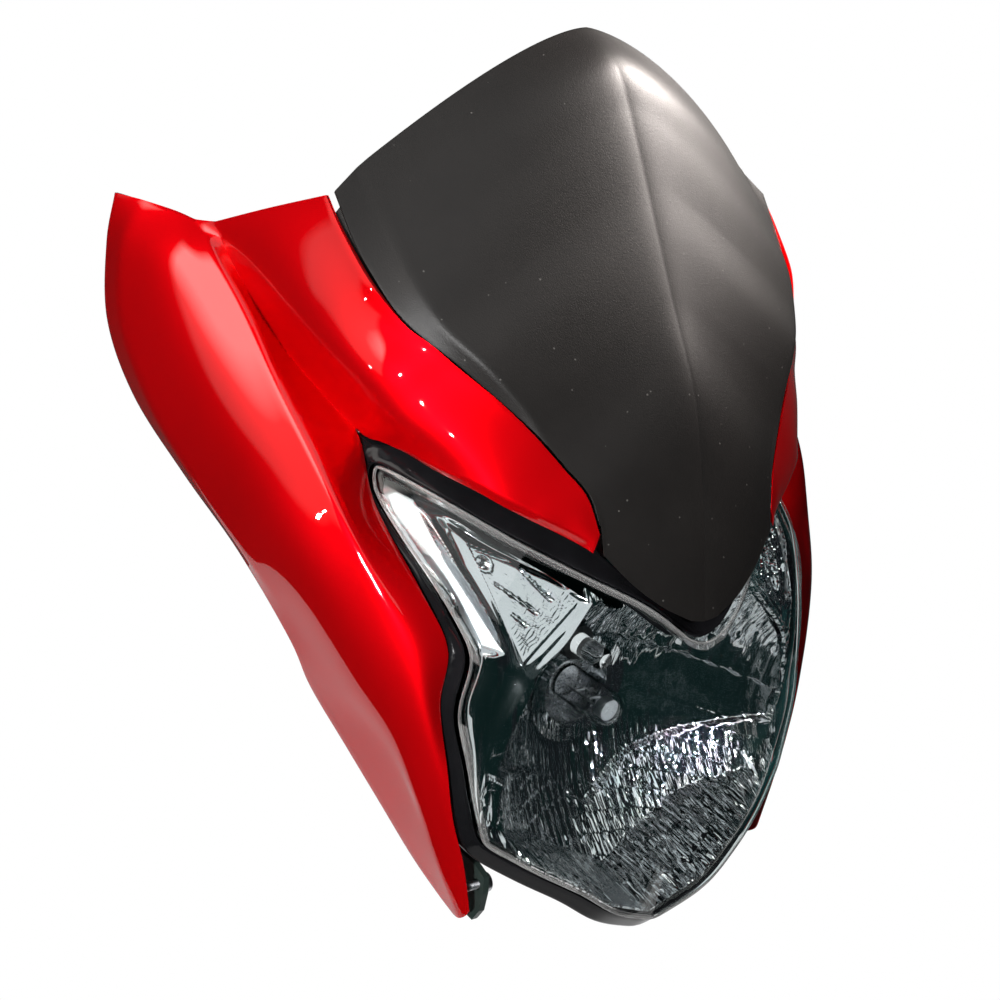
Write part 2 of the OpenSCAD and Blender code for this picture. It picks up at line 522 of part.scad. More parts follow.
module bulb_base() color("#b9bcc0") {
  turned(-bulb_drop) {
    tube_profile(0, sleeve_r, bulb_seat + flange_t, sleeve_front - seat_gap);
    tube_profile(0, flange_r, bulb_seat, bulb_seat + flange_t);
    tube_profile(0, 13, base_rear, bulb_seat);
  }
  for (a = [0, 90, 180]) translate([0, -base_rear - 1, -bulb_drop]) rotate([0, a, 0])
    translate([blade_r, blade_len/2, 0]) cube([0.8, blade_len + 2, blade_w], center = true);
}
// Flat spring ring behind the bulb's flange, with two arms out to the collar
clip_t = 1.8;
module bulb_clip() color("#9da0a4") {
  turned(-bulb_drop) tube_profile(15, 17, bulb_seat - seat_gap - clip_t, bulb_seat - seat_gap);
  for (s = [0, 1]) mirror([s, 0, 0]) translate([16, seat_gap + 0.3 - bulb_seat, -bulb_drop - 1.5])
    cube([flange_r + 0.2 - 16, clip_t - 0.6, 3]);
}
// Rubber boot on the panel, with slots for the three blades
boot_r = neck_in - 0.3;
boot_front = shell_back - panel_t - seat_gap;
cap_front = base_rear - 0.3;
cap_t = 2.5;
boot_sag = cap_front - cap_t - 2.7;
module dust_boot() color("#202020") difference() {
  turned(-bulb_drop) polygon([[boot_r, boot_front], [boot_r, boot_front - 4], [36, boot_front - 4],
    [31, boot_sag], [20, boot_sag], [16, cap_front - cap_t], [0, cap_front - cap_t], [0, cap_front],
    [17.5, cap_front], [21.5, boot_sag + cap_t], [29.5, boot_sag + cap_t], [34.5, boot_front - 1.5],
    [34.5, boot_front]]);
  for (a = [0, 90, 180]) translate([0, cap_t/2 - cap_front, -bulb_drop]) rotate([0, a, 0])
    translate([blade_r, 0, 0]) cube([1.4, 2*cap_t, blade_w + 0.6], center = true);
}

// Pilot bulb and its holder, in the bowl above the main bulb
pilot_y = -bowl_y(pilot_at[0], pilot_at[1], 1);
module pilot_bulb() color("#eef4f8", 0.4) turned(pilot_at[1], pilot_at[0]) dome_profile(pilot_r, pilot_y, 20);
module pilot_socket() color("#242424") turned(pilot_at[1], pilot_at[0])
  tube_profile(0, socket_r, pilot_y - 22, pilot_y - seat_gap);

// Screw boss along Y from a shell's inner face back to the stay
boss_hole = 14;
module aim(n) rotate([0, acos(n[2]), atan2(n[1], n[0])]) children();
trim_size = 80;
module above() translate([-trim_size/2, -trim_size/2, 0]) cube(trim_size);
module y_boss(p, n, wall, y_end) difference() {
  translate([p[0], y_end, p[2]]) rotate([90, 0, 0]) cylinder(r = boss_r, h = y_end - p[1] + 12, $fn = 48);
  translate(p - n*wall*0.5) aim(n) above();
  bore(p[0], p[2], screw_r + 0.1, -y_end - 1, boss_hole - y_end - 1);
}
stay_y = 10;
boss_end = stay_y - seat_gap;
visor_boss_row = 9;
visor_boss_col = 5;
mid_col = flange_cols + face_cols;
visor_boss = visor_grid[visor_boss_row][mid_col + visor_boss_col];
visor_boss_n = grid_normal(visor_grid, visor_boss_row, mid_col + visor_boss_col);
arm_boss_row = 10;
arm_boss_col = 1;
arm_boss = arm_grid[arm_boss_row][arm_boss_col];
arm_boss_n = grid_normal(arm_grid, arm_boss_row, arm_boss_col);
tip_row = 34;
tip_col = 4;
tip_boss = panel_grid[tip_row][tip_col];
tip_boss_n = grid_normal(panel_grid, tip_row, tip_col);
tip_boss_r = 4.4;
module x_boss(p, n, wall, x_end) difference() {
  translate([x_end, p[1], p[2]]) rotate([0, 90, 0]) cylinder(r = tip_boss_r, h = p[0] - x_end + 10, $fn = 48);
  translate(p - n*wall*0.5) aim(n) above();
  translate([x_end - 1, p[1], p[2]]) rotate([0, 90, 0]) cylinder(r = screw_r + 0.1, h = 11, $fn = 32);
}
module visor() color("#2b2a2a") {
  grid_shell(visor_grid, visor_wall);
  y_boss(visor_boss, visor_boss_n, visor_wall, boss_end);
  mirror([1, 0, 0]) y_boss(visor_boss, visor_boss_n, visor_wall, boss_end);
}
module side_cowl() {
  cowl_shell();
  y_boss(arm_boss, arm_boss_n, cowl_wall, boss_end);
  x_boss(tip_boss, tip_boss_n, cowl_wall, tip_stay_x + tip_stay_t + seat_gap);
}
module side_cowl_left() color("#c4121d") side_cowl();
module side_cowl_right() color("#c4121d") mirror([1, 0, 0]) side_cowl();

// Steel stay: two bent legs off the mounting plate and a bar across the bosses
module link2d(a, b, w) {
  d = b - a;
  translate(a) rotate(atan2(d[1], d[0])) translate([0, -w/2]) square([norm(d), w]);
  translate(a) circle(d = w, $fn = 48);
  translate(b) circle(d = w, $fn = 48);
}
bend_low = plate_h/2 + 4;
bend_high = plate_h/2 + 34;
leg_foot = 9;
leg_y = seat_gap - plate_back;
module cowl_stay() color("#33363a") difference() {
  union() {
    translate([0, stay_y + stay_t, 0]) rotate([90, 0, 0]) linear_extrude(stay_t) {
      link2d([-visor_boss[0], visor_boss[2]], [visor_boss[0], visor_boss[2]], stay_w);
      for (s = [-1, 1]) {
        link2d([s*visor_boss[0], visor_boss[2]], [s*arm_boss[0], arm_boss[2]], stay_w*0.75);
        translate([s*stay_screw[0] - stay_w/2, bend_high]) square([stay_w, visor_boss[2] - bend_high]);
      }
    }
    for (s = [-1, 1]) translate([s*stay_screw[0] - stay_w/2, 0, 0]) rotate([90, 0, 90])
      linear_extrude(stay_w) polygon([[leg_y, stay_screw[1] - leg_foot], [leg_y, bend_low],
        [stay_y, bend_high], [stay_y, bend_high + 4], [stay_y + stay_t, bend_high + 4],
        [stay_y + stay_t, bend_high - 0.5], [leg_y + stay_t, bend_low - 0.5],
        [leg_y + stay_t, stay_screw[1] - leg_foot]]);
  }
  for (s = [-1, 1]) {
    bore(s*visor_boss[0], visor_boss[2], screw_r + 0.5, -stay_y - stay_t - 1, -stay_y + 1);
    bore(s*arm_boss[0], arm_boss[2], screw_r + 0.5, -stay_y - stay_t - 1, -stay_y + 1);
    bore(s*stay_screw[0], stay_screw[1], screw_r + 0.5, 0, plate_back);
  }
}
// Moulded stay from the plate's lower corner forward to a cowl's low tip
foot_t = 3;
foot_h = 12;
foot_y = -plate_front - seat_gap;
stay_waist = [-50, -54];
waist_h = 12;
module tip_stay() difference() {
  union() {
    translate([tip_stay_x, 0, 0]) rotate([90, 0, 90]) linear_extrude(tip_stay_t) polygon([
      [foot_y, foot_screw[1] + foot_h/2], [foot_y, foot_screw[1] - foot_h/2],
      [stay_waist[0], stay_waist[1] - waist_h],
      [tip_boss[1] + 8, tip_boss[2] - 17], [tip_boss[1] - 1, tip_boss[2] - 17.5],
      [tip_boss[1] - 4.5, tip_boss[2] - 11], [tip_boss[1] - 5, tip_boss[2] - 2],
      [tip_boss[1] - 4, tip_boss[2] + 5.5], [tip_boss[1] + 4, tip_boss[2] + 8], stay_waist]);
    translate([foot_screw[0] - 6, foot_y - foot_t, foot_screw[1] - foot_h/2])
      cube([tip_stay_x + tip_stay_t - 1 - foot_screw[0] + 6, foot_t, foot_h - 1]);
  }
  bore(foot_screw[0], foot_screw[1], screw_r + 0.5, plate_front, plate_front + 8);
  translate([tip_stay_x - 1, tip_boss[1], tip_boss[2]]) rotate([0, 90, 0])
    cylinder(r = screw_r + 0.5, h = tip_stay_t + 2, $fn = 32);
}
module tip_stay_left() color("#262b29") tip_stay();
module tip_stay_right() color("#262b29") mirror([1, 0, 0]) tip_stay();

// Rubber grommets and steel collars at the four mounting points
collar_out = 5.2;
grommet_lip = 10.4;
module mount_grommets() color("#1d1d1d") for (m = mounts) turned(m[1], m[0]) difference() {
  union() {
    tube_profile(collar_out + 0.1, grommet_lip, 1.5, plate_back - 0.1);
    tube_profile(collar_out + 0.1, grommet_r, plate_back - 0.2, plate_front + 0.2);
    tube_profile(collar_out + 0.1, grommet_lip, plate_front + 0.1, plate_front + 2.5);
  }
}
module mount_collars() color("#a6a9ad") for (m = mounts) turned(m[1], m[0]) {
  tube_profile(mount_r, collar_out, 0, plate_front + 4);
  tube_profile(mount_r, grommet_lip - 1, plate_front + 2.5 + seat_gap, plate_front + 4);
}

// Pan-head screw along Y whose head seats at y and whose shank runs forward
head_r = 4.4;
head_h = 2.6;
module screw(x, z, y, shank) translate([x, 0, z]) rotate([90, 0, 0]) rotate_extrude($fn = 48) {
  translate([0, -y - head_h]) square([head_r, head_h]);
  translate([0, -y - 0.1]) square([screw_r, shank]);
}
module stay_screws() color("#8f9296") for (s = [-1, 1])
  screw(s*stay_screw[0], stay_screw[1], seat_gap - plate_back + stay_t + 0.1, stay_t + plate_t + 2);
module visor_screws() color("#8f9296") for (s = [-1, 1])
  screw(s*visor_boss[0], visor_boss[2], stay_y + stay_t + 0.1, stay_t + 12);
module cowl_screws() color("#8f9296") for (s = [-1, 1])
  screw(s*arm_boss[0], arm_boss[2], stay_y + stay_t + 0.1, stay_t + 10);
module tip_screws() color("#8f9296") for (s = [0, 1]) mirror([s, 0, 0]) {
  translate([0, tip_boss[1], tip_boss[2]]) rotate([0, 90, 0]) rotate_extrude($fn = 48) {
    translate([0, tip_stay_x - 0.1 - head_h]) square([head_r, head_h]);
    translate([0, tip_stay_x - 0.2]) square([screw_r, tip_stay_t + 6]);
  }
  translate([foot_screw[0], -plate_front - seat_gap - 3.1, foot_screw[1]]) rotate([-90, 0, 0])
    rotate_extrude($fn = 48) {
      translate([0, -head_h]) square([head_r, head_h]);
      translate([0, -0.1]) square([screw_r, plate_t + 5]);
    }
}

visor();
side_cowl_right();
side_cowl_left();
lamp_housing();
lens();
lens_seal();
reflector();
ear_bezel_right();
ear_bezel_left();
bulb_glass();
bulb_filaments();
bulb_base();
bulb_clip();
dust_boot();
pilot_bulb();
pilot_socket();
cowl_stay();
tip_stay_right();
tip_stay_left();
mount_grommets();
mount_collars();
stay_screws();
visor_screws();
cowl_screws();
tip_screws();
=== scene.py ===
# Motorbike headlight cowl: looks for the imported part, in the row's frame, metres
import math
import bpy
import bmesh
import numpy as np
from mathutils import Matrix, Vector


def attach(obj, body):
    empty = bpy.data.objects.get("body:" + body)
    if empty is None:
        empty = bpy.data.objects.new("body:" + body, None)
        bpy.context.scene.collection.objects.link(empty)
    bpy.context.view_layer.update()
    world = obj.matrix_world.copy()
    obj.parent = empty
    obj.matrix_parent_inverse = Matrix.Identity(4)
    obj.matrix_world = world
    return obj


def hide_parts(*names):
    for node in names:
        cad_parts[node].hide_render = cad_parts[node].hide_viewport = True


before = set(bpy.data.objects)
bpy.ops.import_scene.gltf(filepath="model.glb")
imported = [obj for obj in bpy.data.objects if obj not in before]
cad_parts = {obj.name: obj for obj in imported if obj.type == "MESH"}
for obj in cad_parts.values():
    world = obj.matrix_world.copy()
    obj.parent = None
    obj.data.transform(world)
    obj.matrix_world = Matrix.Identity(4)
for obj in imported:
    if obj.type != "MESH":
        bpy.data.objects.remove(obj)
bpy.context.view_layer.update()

tipPlace = np.array([0.0, -130.0, 60.0])  # the visor's lower tip in the row's frame, mm
rad = math.radians


def linkObject(name, data):
    obj = bpy.data.objects.new(name, data)
    bpy.context.scene.collection.objects.link(obj)
    return obj


# camera first, at the photograph's own angle; metres, and directions in the row's frame
cameraSizes = {"lens": 64.8, "sensor": 36, "near": 0.01, "place": (-0.52944, -0.59602, 0.36243),
               "right": (0.78365, -0.60003, 0.16078), "up": (0.09881, 0.37592, 0.92137)}


def addCamera(s=cameraSizes):
    cam = bpy.data.cameras.new("photoCamera")
    cam.lens = s["lens"]
    cam.sensor_width = s["sensor"]
    cam.clip_start = s["near"]
    obj = linkObject("photoCamera", cam)
    right = Vector(s["right"]).normalized()
    back = right.cross(Vector(s["up"])).normalized()
    turn = Matrix((right, back.cross(right), back)).transposed().to_4x4()
    obj.matrix_world = Matrix.Translation(s["place"]) @ turn
    bpy.context.scene.camera = obj


addCamera()
print("camera set")


# curves through styled points, as the part's own lines are drawn
def chordSteps(p):
    return np.concatenate([[0], np.cumsum(np.linalg.norm(np.diff(p, axis=0), axis=1))])


def onCurve(p, c, s):
    m = np.empty_like(p)
    m[0] = (p[1] - p[0])/(c[1] - c[0])
    m[-1] = (p[-1] - p[-2])/(c[-1] - c[-2])
    m[1:-1] = (p[2:] - p[:-2])/(c[2:] - c[:-2])[:, None]
    i = np.clip(np.searchsorted(c, s, side="right") - 1, 0, len(p) - 2)
    h = c[i + 1] - c[i]
    f = ((s - c[i])/h)[:, None]
    h = h[:, None]
    return ((2*f**3 - 3*f*f + 1)*p[i] + (f**3 - 2*f*f + f)*m[i]*h
            + (3*f*f - 2*f**3)*p[i + 1] + (f**3 - f*f)*m[i + 1]*h)


def curveAt(p, t):
    p = np.asarray(p, float)
    c = chordSteps(p)
    return onCurve(p, c, np.clip(np.asarray(t, float), 0, 1)*c[-1])


def stationAt(p, t):
    p = np.asarray(p, float)
    c = np.arange(len(p), dtype=float)
    return onCurve(p, c, np.clip(np.asarray(t, float), 0, len(p) - 1))


def ease(a, b, x):
    t = np.clip((np.asarray(x, float) - a)/(b - a), 0, 1)
    return t*t*(3 - 2*t)


# a surface between four border curves: middle and side go up, low and top go across
def patchGrid(middle, side, low, top, up, across):
    t, s = up[:, None, None], across[None, :, None]
    return (middle[:, None]*(1 - s) + side[:, None]*s + low[None]*(1 - t) + top[None]*t
            - (low[0]*(1 - s) + low[-1]*s)*(1 - t) - (top[0]*(1 - s) + top[-1]*s)*t)


def unit(v):
    return v/np.maximum(np.linalg.norm(v, axis=-1, keepdims=True), 1e-12)


def blur(g, times, axis, keep=None, closed=False):
    g = g.copy()
    for _ in range(times):
        if closed:
            s = (np.roll(g, 1, axis) + np.roll(g, -1, axis) + 2*g)/4
        else:
            s = g.copy()
            mid = [slice(None)]*g.ndim
            lo, hi = list(mid), list(mid)
            mid[axis], lo[axis], hi[axis] = slice(1, -1), slice(None, -2), slice(2, None)
            s[tuple(mid)] = (g[tuple(lo)] + g[tuple(hi)] + 2*g[tuple(mid)])/4
        g = s if keep is None else g + (s - g)*keep
    return g


# mesh helpers: grids of points in mm become objects in metres
def makeObject(name, verts, faces):
    mesh = bpy.data.meshes.new(name)
    mesh.from_pydata((np.asarray(verts)*0.001).tolist(), [], faces)
    mesh.validate()
    return linkObject(name, mesh)


def gridFaces(r, c, start=0, closed=False):
    faces = []
    for i in range(r - 1):
        for j in range(c if closed else c - 1):
            a, b = start + i*c + j, start + i*c + (j + 1) % c
            faces.append((a, b, b + c, a + c))
    return faces


def tidyNormals(obj, merge=0.00002, awayFrom=None):
    bm = bmesh.new()
    bm.from_mesh(obj.data)
    bmesh.ops.remove_doubles(bm, verts=bm.verts, dist=merge)
    bmesh.ops.recalc_face_normals(bm, faces=bm.faces)
    if awayFrom is not None:
        ref = Vector(awayFrom)*0.001
        if sum((f.calc_center_median() - ref).dot(f.normal)*f.calc_area() for f in bm.faces) < 0:
            bmesh.ops.reverse_faces(bm, faces=bm.faces)
    bm.to_mesh(obj.data)
    bm.free()


def finishPiece(obj, smoothAngle=40):
    bpy.context.view_layer.update()
    depsgraph = bpy.context.evaluated_depsgraph_get()
    mesh = bpy.data.meshes.new_from_object(obj.evaluated_get(depsgraph))
    obj.modifiers.clear()
    old = obj.data
    obj.data = mesh
    bpy.data.meshes.remove(old)
    mesh.name = obj.name
    mesh.shade_smooth()
    mesh.set_sharp_from_angle(angle=rad(smoothAngle))


def addWall(obj, wall):
    solid = obj.modifiers.new("wall", "SOLIDIFY")
    solid.thickness = wall*0.001
    solid.offset = -1
    return solid


def roundEdges(obj, width, segments, angle):
    bevel = obj.modifiers.new("edges", "BEVEL")
    bevel.width = width*0.001
    bevel.segments = segments
    bevel.limit_method = "ANGLE"
    bevel.angle_limit = rad(angle)
    return bevel


def wallAndEdges(obj, wall, edge, segments=3, angle=50):
    solid = addWall(obj, wall)
    solid.use_even_offset = True
    solid.thickness_clamp = 1.0
    roundEdges(obj, edge, segments, angle).miter_outer = "MITER_ARC"


# the faces that a mask picks out get a second material
def paintFaces(obj, material, chosen):
    obj.data.materials.append(material)
    obj.data.polygons.foreach_set("material_index", chosen.astype(np.int32))


def faceCenters(obj):
    centers = np.empty(len(obj.data.polygons)*3)
    obj.data.polygons.foreach_get("center", centers)
    return centers.reshape(-1, 3)


# node materials
def newMaterial(name):
    mat = bpy.data.materials.new(name)
    mat.use_nodes = True
    nodes, links = mat.node_tree.nodes, mat.node_tree.links
    return mat, nodes, links, nodes["Principled BSDF"]


def setInputs(node, values):
    for label, value in values.items():
        node.inputs[label].default_value = value


def objectCoords(nodes):
    return nodes.new("ShaderNodeTexCoord").outputs["Object"]


# the three parts of a position or a direction
def parts(nodes, links, vector):
    split = nodes.new("ShaderNodeSeparateXYZ")
    links.new(vector, split.inputs["Vector"])
    return split.outputs


# a math node; each input is a socket or a number
def calc(nodes, links, operation, *values):
    node = nodes.new("ShaderNodeMath")
    node.operation = operation
    for socket, value in zip(node.inputs, values):
        if isinstance(value, (int, float)):
            socket.default_value = value
        else:
            links.new(value, socket)
    return node.outputs[0]


def noise(nodes, links, vector, scale, detail=2.0, roughness=0.5):
    n = nodes.new("ShaderNodeTexNoise")
    setInputs(n, {"Scale": scale, "Detail": detail, "Roughness": roughness})
    links.new(vector, n.inputs["Vector"])
    return n.outputs["Fac"]


def ramp(nodes, links, fac, stops):
    r = nodes.new("ShaderNodeValToRGB")
    while len(r.color_ramp.elements) < len(stops):
        r.color_ramp.elements.new(0.5)
    for e, (pos, value) in zip(r.color_ramp.elements, stops):
        e.position = pos
        e.color = (*value, 1) if isinstance(value, tuple) else (value, value, value, 1)
    links.new(fac, r.inputs["Fac"])
    return r.outputs["Color"]


# a ramp over the part of a value's range between low and high
def spanRamp(nodes, links, value, low, high, stops):
    span = nodes.new("ShaderNodeMapRange")
    setInputs(span, {"From Min": low, "From Max": high})
    links.new(value, span.inputs["Value"])
    return ramp(nodes, links, span.outputs["Result"], stops)


# a material's or the world's surface: two shaders mixed by a share
def mixSurface(nodes, links, share, first, second, output="Material Output"):
    mix = nodes.new("ShaderNodeMixShader")
    links.new(share, mix.inputs["Fac"])
    links.new(first, mix.inputs[1])
    links.new(second, mix.inputs[2])
    links.new(mix.outputs["Shader"], nodes[output].inputs["Surface"])


def bump(nodes, links, height, strength, distance):
    b = nodes.new("ShaderNodeBump")
    b.inputs["Distance"].default_value = distance
    if isinstance(strength, float):
        b.inputs["Strength"].default_value = strength
    else:
        links.new(strength, b.inputs["Strength"])
    links.new(height, b.inputs["Height"])
    return b.outputs["Normal"]


def plain(name, color, roughness, metallic=0.0, grain=900, grainBump=0.15, coat=0.0, spread=0.25):
    mat, nodes, links, shader = newMaterial(name)
    vector = objectCoords(nodes)
    fine = noise(nodes, links, vector, grain, 3)
    low, high = [tuple(c*k for c in color) for k in (1 - spread, 1 + spread)]
    links.new(ramp(nodes, links, noise(nodes, links, vector, 60, 4), [(0.3, low), (0.7, high)]),
              shader.inputs["Base Color"])
    links.new(ramp(nodes, links, fine, [(0.3, max(0.02, roughness - 0.08)), (0.7, roughness + 0.08)]),
              shader.inputs["Roughness"])
    links.new(bump(nodes, links, fine, grainBump, 0.0002), shader.inputs["Normal"])
    setInputs(shader, {"Metallic": metallic, "Coat Weight": coat, "Coat Roughness": 0.05})
    return mat


# candy red: a flake base under a thick clear coat
def candyRed():
    mat, nodes, links, shader = newMaterial("candyRed")
    vector = objectCoords(nodes)
    flake = nodes.new("ShaderNodeTexVoronoi")
    flake.inputs["Scale"].default_value = 4200
    links.new(vector, flake.inputs["Vector"])
    tone = noise(nodes, links, vector, 14, 3)
    links.new(ramp(nodes, links, tone, [(0.25, (0.66, 0.0005, 0.003)), (0.75, (0.74, 0.0006, 0.004))]),
              shader.inputs["Base Color"])
    setInputs(shader, {"Metallic": 0.72, "Roughness": 0.46, "Specular IOR Level": 0.0,
                       "Specular Tint": (0.9, 0.0, 0.01, 1), "Coat Weight": 1.0, "Coat Roughness": 0.02,
                       "Coat IOR": 1.55})
    links.new(bump(nodes, links, flake.outputs["Distance"], 0.05, 0.0002), shader.inputs["Normal"])
    return mat


# visor: moulded black plastic with a fine spark-eroded grain and a little dust
def grainedBlack():
    mat, nodes, links, shader = newMaterial("grainedBlack")
    vector = objectCoords(nodes)
    grain = noise(nodes, links, vector, 1500, 3, 0.6)
    cloud = noise(nodes, links, vector, 18, 4, 0.6)
    speck = nodes.new("ShaderNodeTexVoronoi")
    speck.inputs["Scale"].default_value = 120
    links.new(vector, speck.inputs["Vector"])
    dust = ramp(nodes, links, speck.outputs["Distance"], [(0.035, 1.0), (0.06, 0.0)])
    base = ramp(nodes, links, cloud, [(0.3, (0.0115, 0.0104, 0.0100)), (0.7, (0.0160, 0.0145, 0.0138))])
    mix = nodes.new("ShaderNodeMix")
    mix.data_type = "RGBA"
    links.new(dust, mix.inputs["Factor"])
    links.new(base, mix.inputs["A"])
    mix.inputs["B"].default_value = (0.10, 0.095, 0.09, 1)
    links.new(mix.outputs["Result"], shader.inputs["Base Color"])
    links.new(ramp(nodes, links, grain, [(0.3, 0.38), (0.7, 0.47)]), shader.inputs["Roughness"])
    shader.inputs["Specular IOR Level"].default_value = 0.26
    links.new(bump(nodes, links, grain, 0.35, 0.0003), shader.inputs["Normal"])
    return mat


# lens: a thin clear sheet whose gloss grows towards its edges, the same from inside and outside
def clearSheet():
    mat, nodes, links, shader = newMaterial("clearSheet")
    nodes.remove(shader)
    clear = nodes.new("ShaderNodeBsdfTransparent")
    clear.inputs["Color"].default_value = (0.93, 0.95, 0.95, 1)
    gloss = nodes.new("ShaderNodeBsdfGlossy")
    gloss.inputs["Color"].default_value = (1, 1, 1, 1)
    haze = noise(nodes, links, objectCoords(nodes), 9, 3)
    links.new(ramp(nodes, links, haze, [(0.4, 0.004), (0.8, 0.03)]), gloss.inputs["Roughness"])
    facing = nodes.new("ShaderNodeLayerWeight")
    facing.inputs["Blend"].default_value = 0.5
    edge = calc(nodes, links, "POWER", facing.outputs["Facing"], 5.0)
    share = calc(nodes, links, "MULTIPLY_ADD", edge, 0.96, 0.03)
    mixSurface(nodes, links, share, clear.outputs["BSDF"], gloss.outputs["BSDF"])
    return mat


def clearPlastic(name, tint, roughness=0.0, through=1.0):
    mat, nodes, links, shader = newMaterial(name)
    setInputs(shader, {"Base Color": (*tint, 1), "Transmission Weight": through, "IOR": 1.5})
    haze = noise(nodes, links, objectCoords(nodes), 9, 3)
    links.new(ramp(nodes, links, haze, [(0.4, roughness), (0.8, roughness + 0.012)]),
              shader.inputs["Roughness"])
    return mat


chromeTint = (0.86, 0.87, 0.89)


def chrome(name, roughness):
    mat, nodes, links, shader = newMaterial(name)
    shader.inputs["Metallic"].default_value = 1.0
    slow = noise(nodes, links, objectCoords(nodes), 30, 2)
    links.new(ramp(nodes, links, slow, [(0.3, tuple(c*0.94 for c in chromeTint)), (0.7, chromeTint)]),
              shader.inputs["Base Color"])
    links.new(ramp(nodes, links, slow, [(0.3, roughness), (0.7, roughness + 0.03)]),
              shader.inputs["Roughness"])
    return mat


# fine ripples in the chrome, only where both ramps let them through
def ripple(mat, stretch, distance, alongZ, alongX):
    nodes, links = mat.node_tree.nodes, mat.node_tree.links
    vector = objectCoords(nodes)
    split = parts(nodes, links, vector)
    scaled = nodes.new("ShaderNodeMapping")
    setInputs(scaled, {"Scale": stretch})
    links.new(vector, scaled.inputs["Vector"])
    height = noise(nodes, links, scaled.outputs["Vector"], 1.0, 1)
    shares = [spanRamp(nodes, links, split[axis], *span) for axis, span in (("Z", alongZ), ("X", alongX))]
    waves = bump(nodes, links, height, calc(nodes, links, "MULTIPLY", *shares), distance)
    links.new(waves, nodes["Principled BSDF"].inputs["Normal"])


red = candyRed()
visorBlack = grainedBlack()
glossBlack = plain("glossBlack", (0.007, 0.007, 0.008), 0.09, grain=500, grainBump=0.02, coat=0.0)
glossBlack.node_tree.nodes["Principled BSDF"].inputs["Specular IOR Level"].default_value = 0.18
clearLens = clearSheet()
clearRim = clearPlastic("clearRim", (0.97, 0.96, 0.95), 0.04, 0.90)
clearGlass = clearPlastic("clearGlass", (0.99, 0.99, 1.0))
bowlChrome = chrome("bowlChrome", 0.03)
ripple(bowlChrome, (430, 70, 70), 0.0036,
       (-0.10, 0.10, [(0.34, 1.0), (0.40, 0.06), (0.60, 0.06), (0.64, 1.0)]),
       (-0.03, 0.03, [(0.3, 0.35), (0.7, 1.0)]))
bezelChrome = chrome("bezelChrome", 0.05)
ripple(bezelChrome, (160, 160, 260), 0.003, (-0.10, 0.12, [(0.5, 1.0), (0.6, 1.0)]),
       (-0.03, 0.03, [(0.45, 0.0), (0.55, 1.0)]))
bandChrome = chrome("bandChrome", 0.27)
rubber = plain("rubber", (0.018, 0.018, 0.018), 0.75)
steel = plain("steel", (0.50, 0.51, 0.53), 0.34, 1.0)
stayPaint = plain("stayPaint", (0.020, 0.021, 0.023), 0.42, coat=0.3)
tipPlastic = plain("tipPlastic", (0.022, 0.034, 0.030), 0.38)
socketBlack = plain("socketBlack", (0.02, 0.02, 0.02), 0.5)
bulbMetal = plain("bulbMetal", (0.62, 0.63, 0.65), 0.28, 1.0)
print("materials made")


# visor
visorSizes = {"rows": 168, "faceCols": 44, "flangeCols": 8, "wall": 3.0, "crown": 4.0, "noseR": 0.1,
              "splitRow": 17, "foldRow": 12, "lastRow": 24, "tuck": 0.035, "edge": 0.6, "tongue": 4.5,
              "tongueDrop": 3.6, "ridge": 0.28}
keelLine = [[0, 141, 221], [0, 118, 210], [0, 104, 193], [0, 81.5, 160], [0, 57, 124], [0, 32, 88],
            [0, 14, 44], [0, 0, 0]]
jointLine = [[124.3, 133, 150], [123.2, 119, 135.5], [120.8, 108, 125], [113.2, 90, 109], [95.6, 69, 94],
             [72.5, 47, 74], [60.2, 35, 60.5], [53, 27.5, 51.5], [50, 22.5, 42], [49, 17.5, 29]]
foldLine = [[111, 137.5, 159.8], [111.3, 116.1, 143.5], [110.3, 103.1, 132.5], [108.5, 91.4, 122.3],
            [102.1, 77.5, 109.3], [90.1, 62, 97.2], [71.2, 46.6, 77.7]]
tipLine = [[49, 17.5, 29], [36, 10, 17], [22, 4, 7.5], [8, 0.5, 1]]


def mirrorX(p):
    return p*np.array([-1.0, 1.0, 1.0])


def visorShell(s=visorSizes):
    r = np.linspace(0, s["lastRow"], s["rows"] + 1)
    keel = curveAt(keelLine, r/s["lastRow"])
    edge = np.where((r <= s["splitRow"])[:, None], curveAt(jointLine, r/s["splitRow"]),
                    curveAt(tipLine, (r - s["splitRow"])/(s["lastRow"] - s["splitRow"])))
    w = ease(s["foldRow"] - 0.8, s["foldRow"] + 1.2, r)[:, None]
    fold = (1 - w)*curveAt(foldLine, r/s["foldRow"]) + w*(edge + (keel - edge)*s["tuck"])
    t = np.linspace(0, 1, s["faceCols"] + 1)**1.25
    n = s["noseR"]
    g = (np.sqrt(t*t + n*n) - n)/(math.sqrt(1 + n*n) - n)
    span = np.linalg.norm(fold - keel, axis=1)
    crown = s["crown"]*span/span[0]
    low = np.minimum(1, r/7)[:, None]
    zMix = t[None, :]**1.55*(1 - low) + g[None, :]*low
    face = np.empty((len(r), len(t), 3))
    face[:, :, 0] = keel[:, None, 0] + (fold - keel)[:, None, 0]*t
    face[:, :, 1] = keel[:, None, 1] + (fold - keel)[:, None, 1]*g - crown[:, None]*4*t*(1 - t)
    face[:, :, 2] = keel[:, None, 2] + (fold - keel)[:, None, 2]*zMix
    f = np.linspace(0, 1, s["flangeCols"] + 1)[1:]
    flange = fold[:, None] + (edge - fold)[:, None]*f[None, :, None]
    half = np.concatenate([face, flange], axis=1)
    half[:, 1:] = blur(half, 2, 1)[:, 1:]
    proud = s["ridge"]*(1 - ease(s["foldRow"] - 4, s["foldRow"], r))
    half[:, s["faceCols"], 1] -= proud
    half[:, s["faceCols"], 0] += 0.6*proud
    return np.concatenate([mirrorX(half[:, :0:-1]), half], axis=1) + tipPlace


